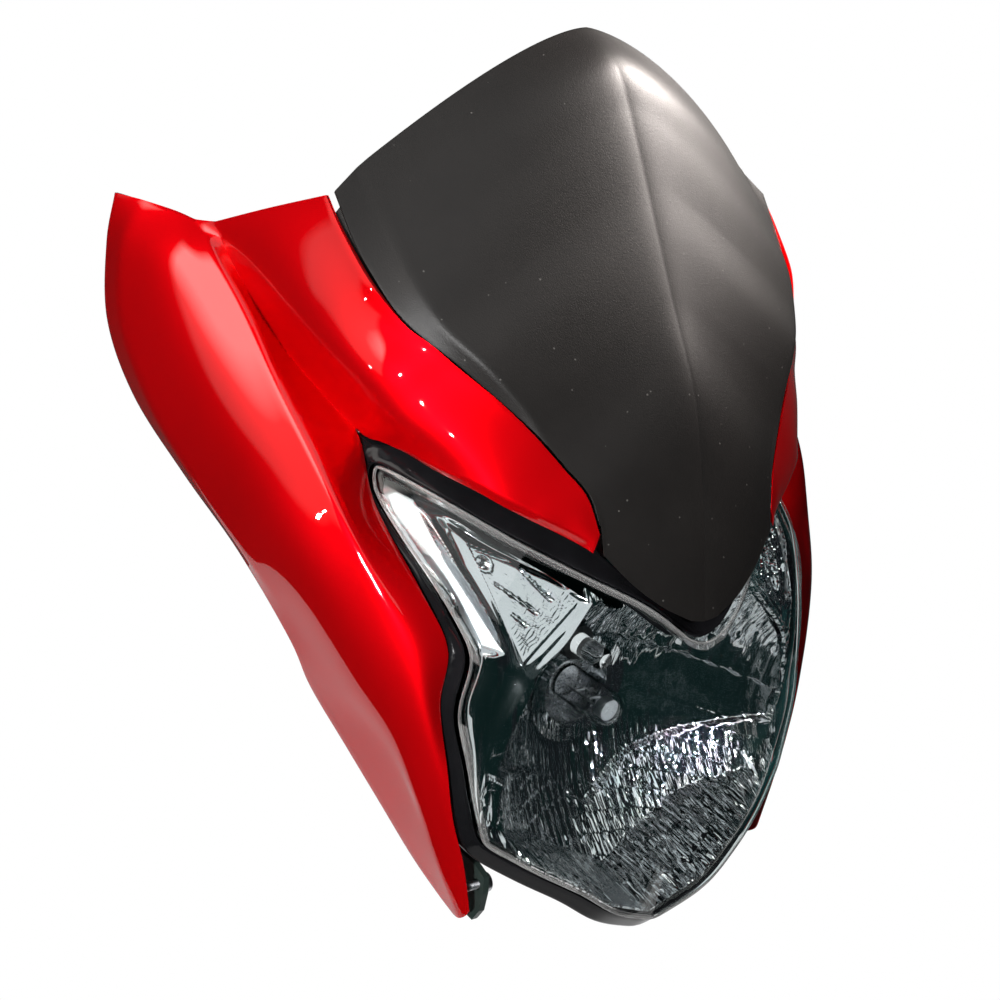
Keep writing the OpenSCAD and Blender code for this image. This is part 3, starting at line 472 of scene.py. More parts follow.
# a narrow tongue lies under the side cowls along the joint
def visorTongue(g, side, s=visorSizes):
    n = int(round(s["splitRow"]/s["lastRow"]*s["rows"])) - 6
    e, b = (g[4:n, -1], g[4:n, -2]) if side > 0 else (g[4:n, 0], g[4:n, 1])
    d = unit(e - b)
    up = unit(np.cross(np.gradient(e, axis=0), d))*(-side)
    strip = [e - 1.5*d + s["tongueDrop"]*0.75*up, e + 0.4*d + s["tongueDrop"]*up,
             e + s["tongue"]*d + (s["tongueDrop"] + 1.0)*up]
    strip = np.stack(strip, axis=1)
    obj = makeObject("visorTongue", strip.reshape(-1, 3), gridFaces(*strip.shape[:2]))
    tidyNormals(obj, awayFrom=(0, 20, 130))
    wallAndEdges(obj, 0.9, 0.2, 1)
    finishPiece(obj)
    return obj


def makeVisor():
    g = visorShell()
    obj = makeObject("visorMain", g.reshape(-1, 3), gridFaces(*g.shape[:2]))
    tidyNormals(obj, awayFrom=(0, 20, 130))
    wallAndEdges(obj, visorSizes["wall"], visorSizes["edge"])
    finishPiece(obj)
    return joinPieces("visorShell", [obj, visorTongue(g, 1), visorTongue(g, -1)])


# side cowls: arm stations (visor side, crown, lower edge) and panel stations
cowlSizes = {"perStation": 12, "armCols": 26, "scoopCols": 10, "bellyCols": 26, "rearCols": 8,
             "seamGap": 1.0, "earStation": 4, "wall": 2.8, "edge": 0.6, "softTimes": 30, "crispTimes": 2,
             "lip": 3.6, "lipTurn": 0.75}
armStations = np.array([
    [[127, 134, 148], [134, 166, 134], [141, 196, 120]], [[126, 120, 136], [135, 152, 121], [138, 187, 108]],
    [[122, 102, 121], [133, 130, 104], [131, 167, 88]], [[113, 88, 108], [128, 108, 90], [122, 149, 71]],
    [[105, 78, 102], [122, 92, 80], [109, 118, 52]], [[96, 69, 94.5], [114, 80, 72], [108.5, 96, 52]],
    [[84, 57, 85], [101, 62, 66], [103, 70, 50]], [[72.5, 46.5, 74], [87, 47, 58], [91, 46, 47]],
    [[62, 36.5, 62], [71, 35, 50], [77, 34.5, 41]], [[54, 28, 52], [60, 27, 43], [64, 27, 35]],
    [[50, 21, 38], [52, 20, 33], [53, 20, 29.5]]], float)
panelStations = np.array([
    [[141, 196, 120], [144, 207, 118], [148, 218, 119], [155, 237, 119], [160, 252, 118]],
    [[138, 187, 108], [144, 184, 107], [156, 205, 102], [163, 236, 98], [162, 252, 95]],
    [[131, 167, 88], [142, 158, 92], [158, 182, 80], [165, 225, 66], [163, 243, 62]],
    [[122, 149, 71], [142, 132, 74], [156, 150, 55], [162, 196, 36], [158, 221, 33]],
    [[109, 118, 52], [141, 106, 56], [152, 122, 33], [155, 166, 13], [150, 184, 9]],
    [[114, 90, 30], [137, 82, 34], [146, 96, 9], [145, 134, -10], [141, 147, -13]],
    [[110, 56, 5], [129, 61, 9], [136, 76, -17], [131, 110, -34], [128, 118, -44]],
    [[104, 40, -15], [121, 44, -11], [127, 58, -38], [121, 88, -55], [117, 113, -67]],
    [[107, 35, -38], [115, 34, -38], [118, 45, -58], [114, 62, -66], [109, 92, -87]],
    [[105, 26, -64], [109, 28, -64], [111, 37, -80], [108, 45, -82], [101, 73, -106]],
    [[101, 22, -86], [103, 24, -87], [104, 31, -98], [103, 38, -101], [94, 53, -124]],
    [[94, 18, -108], [95, 19, -110], [97, 25, -118], [96, 30, -120], [89, 38, -135]],
    [[88, 16, -131], [88.5, 17, -134], [88.5, 20, -137], [88, 23, -139], [87, 27, -140]]], float)


def threeWay(a, b, c, n):
    t = np.linspace(0, 2, n + 1)
    m0, m1, m2 = b - a, (c - a)/2, c - b
    out = []
    for k in t:
        p, q, u, v, f = (a, b, m0, m1, k) if k <= 1 else (b, c, m1, m2, k - 1)
        out.append((2*f**3 - 3*f*f + 1)*p + (f**3 - 2*f*f + f)*u + (3*f*f - 2*f**3)*q + (f**3 - f*f)*v)
    return np.stack(out, axis=1)


def line(a, b, n):
    t = np.linspace(0, 1, n + 1)[None, :, None]
    return a[:, None] + (b - a)[:, None]*t


# the arm's lower edge turns in as a narrow lip below the ear
def armWithLip(dense, ua, s):
    width = s["lip"]*ease(s["earStation"], s["earStation"] + 1.6, ua)*(1 - ease(9.7, 10.0, ua))
    out = []
    across = unit(np.cross(np.gradient(dense[:, -60], axis=0), dense[:, -1] - dense[:, -60]))
    for row, w, n in zip(dense, width, across):
        c = chordSteps(row)
        at = np.concatenate([np.linspace(0, 1, s["armCols"])**0.95*(c[-1] - w),
                             c[-1] - w*np.array([0.62, 0.3, 0])])
        p = np.stack([np.interp(at, c, row[:, k]) for k in range(3)], 1)
        turn = np.clip(at - c[-1] + w, 0, w)*s["lipTurn"]
        out.append(p + turn[:, None]*n*np.sign(n[1]))
    return np.stack(out)


def cowlGrids(s=cowlSizes):
    ua = np.linspace(0, 10, 10*s["perStation"] + 1)
    up = np.linspace(0, 12, 12*s["perStation"] + 1)
    a, b, c = [stationAt(armStations[:, k], ua) for k in range(3)]
    arm = armWithLip(threeWay(a + s["seamGap"]*unit(b - a), b, c, 400), ua, s)
    d, e, g, f = [stationAt(panelStations[:, k], up) for k in (1, 2, 3, 4)]
    slit = s["earStation"]*s["perStation"]
    front = stationAt(panelStations[:, 0], up)
    front[:slit + 1] = c[:slit + 1]
    panel = np.concatenate([line(front, d, s["scoopCols"])[:, :-1], threeWay(d, e, g, s["bellyCols"]),
                            line(g, f, s["rearCols"])[:, 1:]], axis=1)
    crisp = blur(panel, s["crispTimes"], 1)
    soft = blur(panel, s["softTimes"], 1)
    w = ease(4.5, 7.5, up)[:, None, None]
    panel = crisp*(1 - w) + soft*w
    return arm + tipPlace, panel + tipPlace


def makeCowl(name, side):
    arm, panel = cowlGrids()
    verts = np.concatenate([arm.reshape(-1, 3), panel.reshape(-1, 3)])*np.array([side, 1, 1])
    faces = gridFaces(*arm.shape[:2]) + gridFaces(*panel.shape[:2], start=arm.shape[0]*arm.shape[1])
    obj = makeObject(name, verts, faces)
    tidyNormals(obj, awayFrom=(side*70, 60, 60))
    wallAndEdges(obj, cowlSizes["wall"], cowlSizes["edge"], 3, 55)
    finishPiece(obj)
    return obj


# the lens rim, which the lens and the housing share
lensSizes = {"rows": 54, "cols": 30, "wall": 2.5, "skirt": 12.0, "edge": 1.5}
lensMiddle = [[0, -9, -145], [0, -11.5, -108], [0, -12, -71], [0, -9, -36], [0, -3, -10]]
lensSide = [[89, 13, -97], [94, 17, -80], [98, 21, -62], [101.5, 28.5, -40], [97.5, 31, -17], [101, 40, -4],
            [107, 54, 10], [110.5, 76, 23], [111, 95, 34], [107, 103, 42]]
lensBottom = [[0, -9, -145], [27, -11, -133], [46.5, -7.5, -120], [65.5, 0, -110], [89, 13, -97]]
lensTop = [[0, -3, -10], [10, -3, -6], [20, 1, 2], [31, 8, 9], [44, 19, 14], [58, 31, 20], [76, 46, 28],
           [92, 65, 36], [101, 83, 40], [107, 103, 42]]


def lensGrid(rows, cols):
    t = np.linspace(1, 0, rows + 1)
    s = np.linspace(0, 1, cols + 1)
    m, e = curveAt(lensMiddle, t), curveAt(lensSide, t)
    b, u = curveAt(lensBottom, s), curveAt(lensTop, s)
    half = patchGrid(m, e, b, u, t, s)
    return np.concatenate([mirrorX(half[:, :0:-1]), half], axis=1) + tipPlace


def borderIds(r, c):
    return (list(range(c)) + [i*(c + 1) + c for i in range(r)]
            + [r*(c + 1) + j for j in range(c, 0, -1)] + [i*(c + 1) for i in range(r, 0, -1)])


def rimLine(rows=54, cols=30, soften=2):
    g = lensGrid(rows, cols)
    rim = g.reshape(-1, 3)[borderIds(rows, 2*cols)]
    rim = blur(rim, soften, 0, closed=True)
    step = np.roll(rim, -1, 0) - np.roll(rim, 1, 0)
    out = unit(np.stack([-step[:, 2], 0*step[:, 0], step[:, 0]], axis=1))
    return rim, out


def makeLens(s=lensSizes):
    g = lensGrid(s["rows"], s["cols"])
    rim, out = rimLine(s["rows"], s["cols"])
    r, c = g.shape[:2]
    ids = np.array(borderIds(r - 1, c - 1))
    outer = g.reshape(-1, 3).copy()
    outer[ids] = rim
    du = np.gradient(g, axis=0)
    dv = np.gradient(g, axis=1)
    inner = (g - s["wall"]*unit(np.cross(du, dv))).reshape(-1, 3)
    inner[ids] = rim - s["wall"]*out + np.array([0, s["wall"], 0])
    n, k = len(outer), len(ids)
    skirtOut, skirtIn = rim + [0, s["skirt"], 0], rim - s["wall"]*out + [0, s["skirt"], 0]
    verts = np.concatenate([outer, inner, skirtOut, skirtIn])
    faces = gridFaces(r, c) + [tuple(reversed(f)) for f in gridFaces(r, c, n)]
    for a in range(k):
        b = (a + 1) % k
        faces += [(ids[b], ids[a], 2*n + a, 2*n + b), (2*n + b, 2*n + a, 2*n + k + a, 2*n + k + b),
                  (2*n + k + b, 2*n + k + a, n + ids[a], n + ids[b])]
    obj = makeObject("lensShell", verts, [tuple(int(v) for v in f) for f in faces])
    tidyNormals(obj)
    roundEdges(obj, s["edge"], 4, 38)
    finishPiece(obj, 50)
    return obj


# geometry node trees, built from a short list of named inputs
def nodeTree(name, inputs):
    tree = bpy.data.node_groups.new(name, "GeometryNodeTree")
    tree.interface.new_socket("Geometry", in_out="INPUT", socket_type="NodeSocketGeometry")
    for label, kind, value in inputs:
        socket = tree.interface.new_socket(label, in_out="INPUT", socket_type=kind)
        if value is not None:
            socket.default_value = value
    tree.interface.new_socket("Geometry", in_out="OUTPUT", socket_type="NodeSocketGeometry")
    return tree, tree.nodes.new("NodeGroupInput"), tree.nodes.new("NodeGroupOutput")


def endTree(tree, groupIn, groupOut, geometry):
    realize = tree.nodes.new("GeometryNodeRealizeInstances")
    paint = tree.nodes.new("GeometryNodeSetMaterial")
    tree.links.new(geometry, realize.inputs[0])
    tree.links.new(realize.outputs[0], paint.inputs["Geometry"])
    tree.links.new(groupIn.outputs["Material"], paint.inputs["Material"])
    tree.links.new(paint.outputs["Geometry"], groupOut.inputs["Geometry"])


def applyTree(obj, tree, values):
    modifier = obj.modifiers.new(tree.name, "NODES")
    modifier.node_group = tree
    for item in tree.interface.items_tree:
        if item.in_out == "INPUT" and item.name in values:
            modifier[item.identifier] = values[item.name]
    finishPiece(obj, 40)
    return obj


def beadTree():
    tree, groupIn, groupOut = nodeTree("rimBead", [
        ("Radius", "NodeSocketFloat", 0.001), ("Sides", "NodeSocketInt", 12),
        ("Material", "NodeSocketMaterial", None)])
    path = tree.nodes.new("GeometryNodeMeshToCurve")
    ring = tree.nodes.new("GeometryNodeCurvePrimitiveCircle")
    sweep = tree.nodes.new("GeometryNodeCurveToMesh")
    for source, target in ((groupIn.outputs["Geometry"], path.inputs["Mesh"]),
                           (groupIn.outputs["Radius"], ring.inputs["Radius"]),
                           (groupIn.outputs["Sides"], ring.inputs["Resolution"]),
                           (path.outputs["Curve"], sweep.inputs["Curve"]),
                           (ring.outputs["Curve"], sweep.inputs["Profile Curve"])):
        tree.links.new(source, target)
    endTree(tree, groupIn, groupOut, sweep.outputs["Mesh"])
    return tree


# two round beads run along the lens rim, one on its face and one on its edge
beadSizes = {"faceIn": 2.7, "faceProud": 0.05, "faceR": 0.45, "edgeOut": -0.4, "edgeBack": 0.7, "edgeR": 0.75,
             "rim": 1.6, "sides": 10, "path": (108, 60, 4)}


def makeRimBeads(s=beadSizes):
    rim, out = rimLine(*s["path"])
    tree = beadTree()
    beads = []
    for name, inset, back, radius in (("rimBeadFace", -s["faceIn"], -s["faceProud"], s["faceR"]),
                                      ("rimBeadEdge", s["edgeOut"], s["edgeBack"], s["edgeR"])):
        p = rim + inset*out + np.array([0, back, 0])
        p = blur(p, 3, 0, closed=True)
        mesh = bpy.data.meshes.new(name)
        mesh.from_pydata((p*0.001).tolist(), [(k, (k + 1) % len(p)) for k in range(len(p))], [])
        obj = linkObject(name, mesh)
        values = {"Radius": radius*0.001, "Sides": s["sides"], "Material": clearRim}
        beads.append(applyTree(obj, tree, values))
    return beads


def paintRim(obj):
    rim = rimLine(*beadSizes["path"])[0]*0.001
    reach = (beadSizes["rim"]*0.001)**2
    near = np.array([np.min(np.sum((rim - c)**2, axis=1)) for c in faceCenters(obj)]) < reach
    paintFaces(obj, clearRim, near)


# lamp housing: a section swept round the rim, a neck and a plate with holes
housingSizes = {"rimStep": 5.5, "fit": 0.3, "lip": 3.0, "wallY": 25.0, "belly": 6.0, "neckR": 48.0,
                "wall": 3.0, "ledgeY": 14.6, "ledgeT": 2.5, "ledgeR": 4.0, "earNarrow": 0.6,
                "shellBack": 33.0, "drop": 6.0, "shoulder": 10.0, "chin": 3.0, "dip": 8.0, "thin": 6.0,
                "plateBack": 6.0, "plateT": 5.0, "plateW": 144.0, "plateH": 116.0, "corner": 10.0,
                "plateEdge": 0.6, "panelT": 3.0, "panelHole": 24.0, "screwHole": 2.1, "grommetHole": 8.0,
                "path": (72, 40, 4)}
mountSpacing = (100.0, 76.0)
stayScrew, footScrew = (29.0, 51.0), (66.0, -51.0)


# closed sections turned about the bulb's axis, or swept round the rim
def turnedRings(profile, n=96):
    ang = np.linspace(0, 2*math.pi, n, endpoint=False)
    z = -housingSizes["drop"]
    return np.stack([np.stack([r*np.cos(ang), 0*ang - y, z + r*np.sin(ang)], 1) for r, y in profile])


def ringsMesh(name, rings):
    r, c = rings.shape[:2]
    faces = gridFaces(r, c, closed=True)
    faces += [((r - 1)*c + j, (r - 1)*c + (j + 1) % c, (j + 1) % c, j) for j in range(c)]
    obj = makeObject(name, rings.reshape(-1, 3), faces)
    tidyNormals(obj)
    return obj


def circlePoints(x, z, r, n=48):
    a = np.linspace(0, 2*math.pi, n, endpoint=False)
    return np.stack([x + r*np.cos(a), z + r*np.sin(a)], 1)


def roundedPoints(w, h, r, n=12):
    out = []
    x, z = w/2 - r, h/2 - r
    for cx, cz, a0 in ((x, z, 0), (-x, z, 90), (-x, -z, 180), (x, -z, 270)):
        a = np.radians(np.linspace(a0, a0 + 90, n))
        out.append(np.stack([cx + r*np.cos(a), cz + r*np.sin(a)], 1))
    return np.concatenate(out)


# a flat plate with holes, between two depths
def platePiece(name, outline, holes, yNear, yFar, edge):
    curve = bpy.data.curves.new(name, "CURVE")
    curve.dimensions = "2D"
    curve.fill_mode = "BOTH"
    for loop in [outline, *holes]:
        sp = curve.splines.new("POLY")
        sp.points.add(len(loop) - 1)
        for p, q in zip(sp.points, loop):
            p.co = (q[0]*0.001, q[1]*0.001, 0, 1)
        sp.use_cyclic_u = True
    flat = linkObject(name, curve)
    bpy.context.view_layer.update()
    mesh = bpy.data.meshes.new_from_object(flat.evaluated_get(bpy.context.evaluated_depsgraph_get()))
    bpy.data.objects.remove(flat)
    bpy.data.curves.remove(curve)
    bm = bmesh.new()
    bm.from_mesh(mesh)
    bmesh.ops.remove_doubles(bm, verts=bm.verts, dist=1e-6)
    top = bmesh.ops.extrude_face_region(bm, geom=bm.faces[:])
    for v in [g for g in top["geom"] if isinstance(g, bmesh.types.BMVert)]:
        v.co.z = (yFar - yNear)*0.001
    for v in bm.verts:
        v.co = Vector((v.co.x, -yNear*0.001 - v.co.z, v.co.y))
    bmesh.ops.recalc_face_normals(bm, faces=bm.faces)
    bm.to_mesh(mesh)
    bm.free()
    obj = linkObject(name, mesh)
    roundEdges(obj, edge, 2, 60)
    finishPiece(obj, 35)
    return obj


def joinPieces(name, pieces):
    bm = bmesh.new()
    for p in pieces:
        bm.from_mesh(p.data)
        bpy.data.objects.remove(p)
    mesh = bpy.data.meshes.new(name)
    bm.to_mesh(mesh)
    bm.free()
    obj = linkObject(name, mesh)
    mesh.shade_smooth()
    mesh.set_sharp_from_angle(angle=rad(40))
    return obj


def makeHousing(s=housingSizes):
    rim, out = rimLine(*s["path"])
    n = len(rim)
    sideways = ease(0.35, 0.65, np.abs(out[:, 0]))
    back = np.clip((rim[:, 1] + 130 - 30)/25, 0, 1)
    x = np.abs(rim[:, 0])
    share = np.minimum(np.clip((x - 34)/20, 0, 1), np.clip((108 - x)/14, 0, 1))*ease(0.45, 0.65, out[:, 2])
    share = blur(share, 6, 0, closed=True)
    chin = blur(s["chin"]*ease(0.45, 0.85, -out[:, 2]), 8, 0, closed=True)
    width = s["shoulder"]*share + s["rimStep"]*(1 - s["earNarrow"]*sideways*back) + chin

    def ring(r, y):
        return rim + np.asarray(r).reshape(-1, 1)*out + np.array([0, y, 0])

    real = np.degrees(np.arctan2(rim[:, 2] + s["drop"], rim[:, 0]))
    even = 137 - 360*np.arange(n)/n
    gap = real - even
    clock = np.radians((real + even + np.where(gap > 180, -360, np.where(gap < -180, 360, 0)))/2)

    def neck(r, y):
        return np.stack([r*np.cos(clock), np.full(n, -y), r*np.sin(clock) - s["drop"]], 1)

    o, e = ring(width, s["wallY"]), neck(s["neckR"], s["shellBack"] - 1)
    lean = unit(np.stack([e[:, 0], np.ones(n), e[:, 2] + s["drop"]], 1))
    wall = [o + (e - o)*t + s["belly"]*4*t*(1 - t)*lean for t in np.linspace(0, 1, 15)]
    wall = np.stack(wall)
    across = np.roll(wall, -1, 1) - np.roll(wall, 1, 1)
    along = np.gradient(wall, axis=0)
    normal = unit(np.cross(across, along))
    inner = wall - s["wall"]*normal
    inner[0] = ring(width - s["wall"], s["wallY"] - s["wall"])
    inner[-1] = wall[-1] - 0.6*s["wall"]*normal[-1]
    lip = s["lip"]
    dip = s["dip"]*share
    inside = ring((width - s["wall"] - s["ledgeR"])/2, (s["wallY"] - s["wall"] + s["ledgeY"] + s["ledgeT"])/2)
    inside[:, 1] -= s["thin"]*share

    def sloped(r, y, part):
        p = ring(r, y)
        p[:, 1] += dip*part
        return p

    front = [ring(s["fit"], s["ledgeY"]), ring(s["fit"], lip + 1.4), ring(s["fit"] + 0.3, lip + 0.5),
             ring(s["fit"] + 0.9, lip), ring(s["fit"] + 1.7, lip + 0.3),
             sloped(width*0.45, lip + 1.6, 0.45), sloped(width - 1.2, lip + 3.9, 0.92),
             sloped(width - 0.3, lip + 4.6, 0.98), sloped(width, lip + 5.4, 1.0), ring(width, s["wallY"] - 1)]
    ledge = [inside, ring(-s["ledgeR"], s["ledgeY"] + s["ledgeT"]), ring(-s["ledgeR"], s["ledgeY"])]
    rings = np.stack(front + list(wall) + list(inner[::-1]) + ledge)
    body = ringsMesh("housingBody", rings)
    neckIn = s["neckR"] - s["wall"]
    back, shell = s["plateBack"] + 1, s["shellBack"]
    tube = ringsMesh("housingNeck", turnedRings([
        (neckIn, back), (s["neckR"] + 0.5, back), (s["neckR"] + 0.5, shell + 3.4),
        (s["neckR"], shell + 4), (neckIn + 0.6, shell + 4), (neckIn, shell + 3.4)]))
    panel = ringsMesh("housingPanel", turnedRings([
        (s["panelHole"], shell - s["panelT"]), (neckIn + 0.8, shell - s["panelT"]),
        (neckIn + 0.8, shell), (s["panelHole"], shell)]))
    mounts = [(x*mountSpacing[0]/2, z*mountSpacing[1]/2) for x in (-1, 1) for z in (-1, 1)]
    holes = [circlePoints(x, z, s["grommetHole"]) for x, z in mounts]
    holes += [circlePoints(k*x, z, s["screwHole"], 24) for k in (-1, 1) for x, z in (stayScrew, footScrew)]
    holes.append(circlePoints(0, -s["drop"], neckIn + 1.5, 96))
    plate = platePiece("housingPlate", roundedPoints(s["plateW"], s["plateH"], s["corner"]), holes,
                       s["plateBack"], s["plateBack"] + s["plateT"], s["plateEdge"])
    return joinPieces("housingShell", [body, tube, panel, plate])


# reflector bowl: fluted low down, upright columns in the middle, broken facets on top
bowlSizes = {"back": 58.0, "focus": 32.0, "air": 11.0, "halfW": 88.0, "rows": 188, "cols": 240, "wall": 1.2,
             "drop": 6.0, "bulbHole": 18.5, "collar": 27.0, "seat": 33.2, "pilot": (-20.0, 28.0),
             "pilotHole": 8.5, "flange": (22.0, 43.2),
             "flute": (6.6, 1.15), "fineFlute": (4.4, 0.75), "fluteTop": -52.0, "fluteStep": 2.6,
             "column": (11.0, 0.75), "facet": (8.5, 1.3), "facetLow": 26.0, "facetStep": 3.0,
             "floorGap": 4.0, "floorRows": 12, "short": (7.5, 2.3)}
bowlTop = np.array([[0, -19], [10, -15], [20, -7], [31, 0], [44, 8], [60, -9], [69, -17], [78, -29],
                    [86, -52], [88, -80]], float)
bowlBottom = np.array([[0, -137], [27, -125], [46.5, -112], [65.5, -101.5], [83, -92], [88, -88]], float)


def lensDepth(x, z):
    a = np.abs(x)/98
    return -11.5 + 33*a*a + 24*np.maximum(0, (z - 60 + 36)/50)**1.3 - 130


def flutes(x, pitch, depth):
    return depth*(1 - (2*(x/pitch % 1) - 1)**2)


def wobble(x, z, seed):
    k = np.floor(x/4.3) + seed
    return 0.5*np.sin(z/2.3 + 2.1*k) + 0.5*np.sin(z/5.1 + 4.7*k + 1.3)


def bowlRelief(x, z, s=bowlSizes):
    a = np.abs(x)
    lowEdge = s["fluteTop"] + 0.5*a - 6*np.exp(-((x - 6)/14)**2)
    zig = s["facetLow"] - 0.27*a - 2.2*np.abs((x/s["facet"][0] % 1)*2 - 1)
    low = ease(lowEdge + 0.5, lowEdge - 0.5, z)
    top = ease(zig - 0.4, zig + 0.4, z)
    right = ease(-4, 4, x)
    strong, fine = flutes(x, *s["flute"]), flutes(x, *s["fineFlute"])
    short = s["short"][1]*(1 - z/s["short"][0] % 1)
    lower = (s["fluteStep"] + short*(0.35 + 0.65*right) + right*(strong + 0.24*wobble(x, z, 1))
             + (1 - right)*(fine + 0.16*wobble(x, z, 7)))
    edge = np.abs((x + 3)/s["column"][0] % 1 - 0.5)*2
    middle = flutes(x + 3, *s["column"]) + 0.05*wobble(x, z, 3) + 0.8*ease(-2.0, -2.8, z + 0.22*a)
    middle = middle + 0.5*ease(0.93, 1.0, edge)
    upper = s["facetStep"] + flutes(x + 2, *s["facet"]) + 0.30*wobble(x, z, 5) - 0.12*(z - zig)
    return lower*low + middle*(1 - low)*(1 - top) + upper*top


def bowlDepth(x, z, s=bowlSizes, relief=True):
    y = -s["back"] - (x*x + (z + s["drop"])**2)/(4*s["focus"])
    y = np.maximum(lensDepth(x, z) + s["air"], y)
    if not relief:
        return y
    near = ease(s["collar"] - 1, s["collar"] + 5, np.hypot(x, z + s["drop"]))
    return y - bowlRelief(x, z)*near


def makeReflector(s=bowlSizes):
    x = np.linspace(-s["halfW"], s["halfW"], s["cols"] + 1)
    top = np.interp(np.abs(x), bowlTop[:, 0], bowlTop[:, 1]) + 60
    low = np.interp(np.abs(x), bowlBottom[:, 0], bowlBottom[:, 1]) + 60
    t = np.linspace(0, 1, s["rows"] + 1)[:, None]
    z = top[None]*(1 - t) + low[None]*t
    xx = np.broadcast_to(x, z.shape)
    g = np.stack([xx, bowlDepth(xx, z), z], axis=-1)
    floor = np.array(lensBottom, float)
    rimY = np.interp(np.abs(x), floor[:, 0], floor[:, 1]) - 130 + s["floorGap"]
    rimZ = np.interp(np.abs(x), floor[:, 0], floor[:, 2]) + 60 + s["floorGap"] - 1
    f = np.linspace(0, 1, s["floorRows"] + 1)[1:, None]
    rib = 0.5*flutes(x, *s["flute"])*np.sin(f*math.pi)
    front = np.stack([x + 0*f, g[-1, :, 1]*(1 - f) + rimY*f - rib, low*(1 - f) + rimZ*f + rib], axis=-1)
    g = np.concatenate([g, front])
    verts = g.reshape(-1, 3)
    faces = []
    px, pz = s["pilot"]
    for f in gridFaces(*g.shape[:2]):
        m = verts[list(f)].mean(0)
        nearBulb = math.hypot(m[0], m[2] + s["drop"]) <= s["bulbHole"]
        if not nearBulb and math.hypot(m[0] - px, m[2] - pz) > s["pilotHole"]:
            faces.append(f)
    obj = makeObject("reflectorBowl", verts, faces)
    bm = bmesh.new()
    bm.from_mesh(obj.data)
    bmesh.ops.delete(bm, geom=[v for v in bm.verts if not v.link_faces], context="VERTS")
    bm.to_mesh(obj.data)
    bm.free()
    tidyNormals(obj, awayFrom=(0, 500, 0))
    addWall(obj, s["wall"])
    finishPiece(obj, 24)
    flangeR, flangeY = s["flange"]
    collar = ringsMesh("reflectorCollar", turnedRings([
        (flangeR, s["seat"]), (s["collar"], s["seat"]), (s["collar"], s["back"] + 6),
        (s["bulbHole"], s["back"] + 4), (s["bulbHole"], flangeY), (flangeR, flangeY)]))
    return joinPieces("reflectorBowl", [obj, collar])


# ear bezels: a flat bright band, a groove, and a stippled triangle with a hole and three slots
bezelSizes = {"rows": 230, "cols": 120, "wall": 1.6, "groove": 2.4, "plateau": 0.9, "stipple": 0.20,
              "stipplePitch": 1.5, "air": 3.6, "holeAt": (81.4, 74.3), "holeR": 2.1,
              "slotDepth": 1.5, "slotHalf": 0.9,
              "bandY": -101.0, "bandRise": 1.18, "bandLean": 1.5, "bandW": 8.5,
              "triangleAt": ((84.6, -69.5, 79.0), (77.3, -106.5, 40.8), (54.1, -96.5, 68.9))}
bezelEdge = [[87, -82], [86, -53], [78, -30], [69, -18], [60, -10], [46, 5]]
bezelSide = [[88, 22, -91], [91, 25, -80], [94, 28, -62], [97.5, 35, -40], [93.5, 38, -18], [97, 45, -4],
             [103, 58, 9], [106, 78, 21], [106, 95, 31], [102, 101, 35]]
bezelTop = [[60, 42, 13], [78, 58, 22], [92, 78, 31], [102, 101, 35]]
bandLine = [[98.2, 89.5], [94.5, 73.5], [89.8, 61.9], [83.6, 45.7]]
triangle = [[84.6, 79.0], [46.0, 66.5], [77.3, 40.8]]
slots = [[[67.8, 72.9], [60.0, 64.0]], [[78.2, 67.1], [66.7, 59.0]], [[75.3, 57.4], [71.7, 54.4]]]


# the band's inner edge at a height
def bandAt(z):
    return np.interp(z, [p[1] for p in bandLine[::-1]], [p[0] for p in bandLine[::-1]])


def segmentDistance(x, z, a, b):
    a, b = np.array(a, float), np.array(b, float)
    d = b - a
    t = np.clip(((x - a[0])*d[0] + (z - a[1])*d[1])/(d @ d), 0, 1)
    return np.hypot(x - a[0] - t*d[0], z - a[1] - t*d[1])


def insideDistance(x, z, poly):
    out = np.full(np.shape(x), 1e9)
    middle = np.mean(poly, axis=0)
    for k, a in enumerate(poly):
        b = poly[(k + 1) % len(poly)]
        n = np.array([-(b[1] - a[1]), b[0] - a[0]])/math.hypot(b[0] - a[0], b[1] - a[1])
        n = n*np.sign(n @ (middle - np.array(a)))
        out = np.minimum(out, (x - a[0])*n[0] + (z - a[1])*n[1])
    return out


def planeThrough(x, z, a, b, c):
    corners = np.array([a, b, c], float)
    d = np.linalg.solve(np.stack([corners[:, 0], corners[:, 2], np.ones(3)], 1), corners[:, 1])
    return d[0]*x + d[1]*z + d[2]


# the band and the triangle are true planes, which the pressed surface round them blends into
def bezelPlanes(x, y, z, s=bezelSizes):
    band = bandAt(z)
    flat = s["bandY"] + (z - 45.7)*s["bandRise"] + s["bandLean"]*(x - band)
    share = (ease(band - 0.8, band + 0.4, x)*ease(43.5, 45.5, z)
             * (1 - ease(s["bandW"] - 1, s["bandW"] + 0.5, x - band)))
    y = y + (flat - y)*share
    inside = ease(-1.5, 0.3, insideDistance(x, z, triangle))
    return y + (planeThrough(x, z, *s["triangleAt"]) - y)*inside


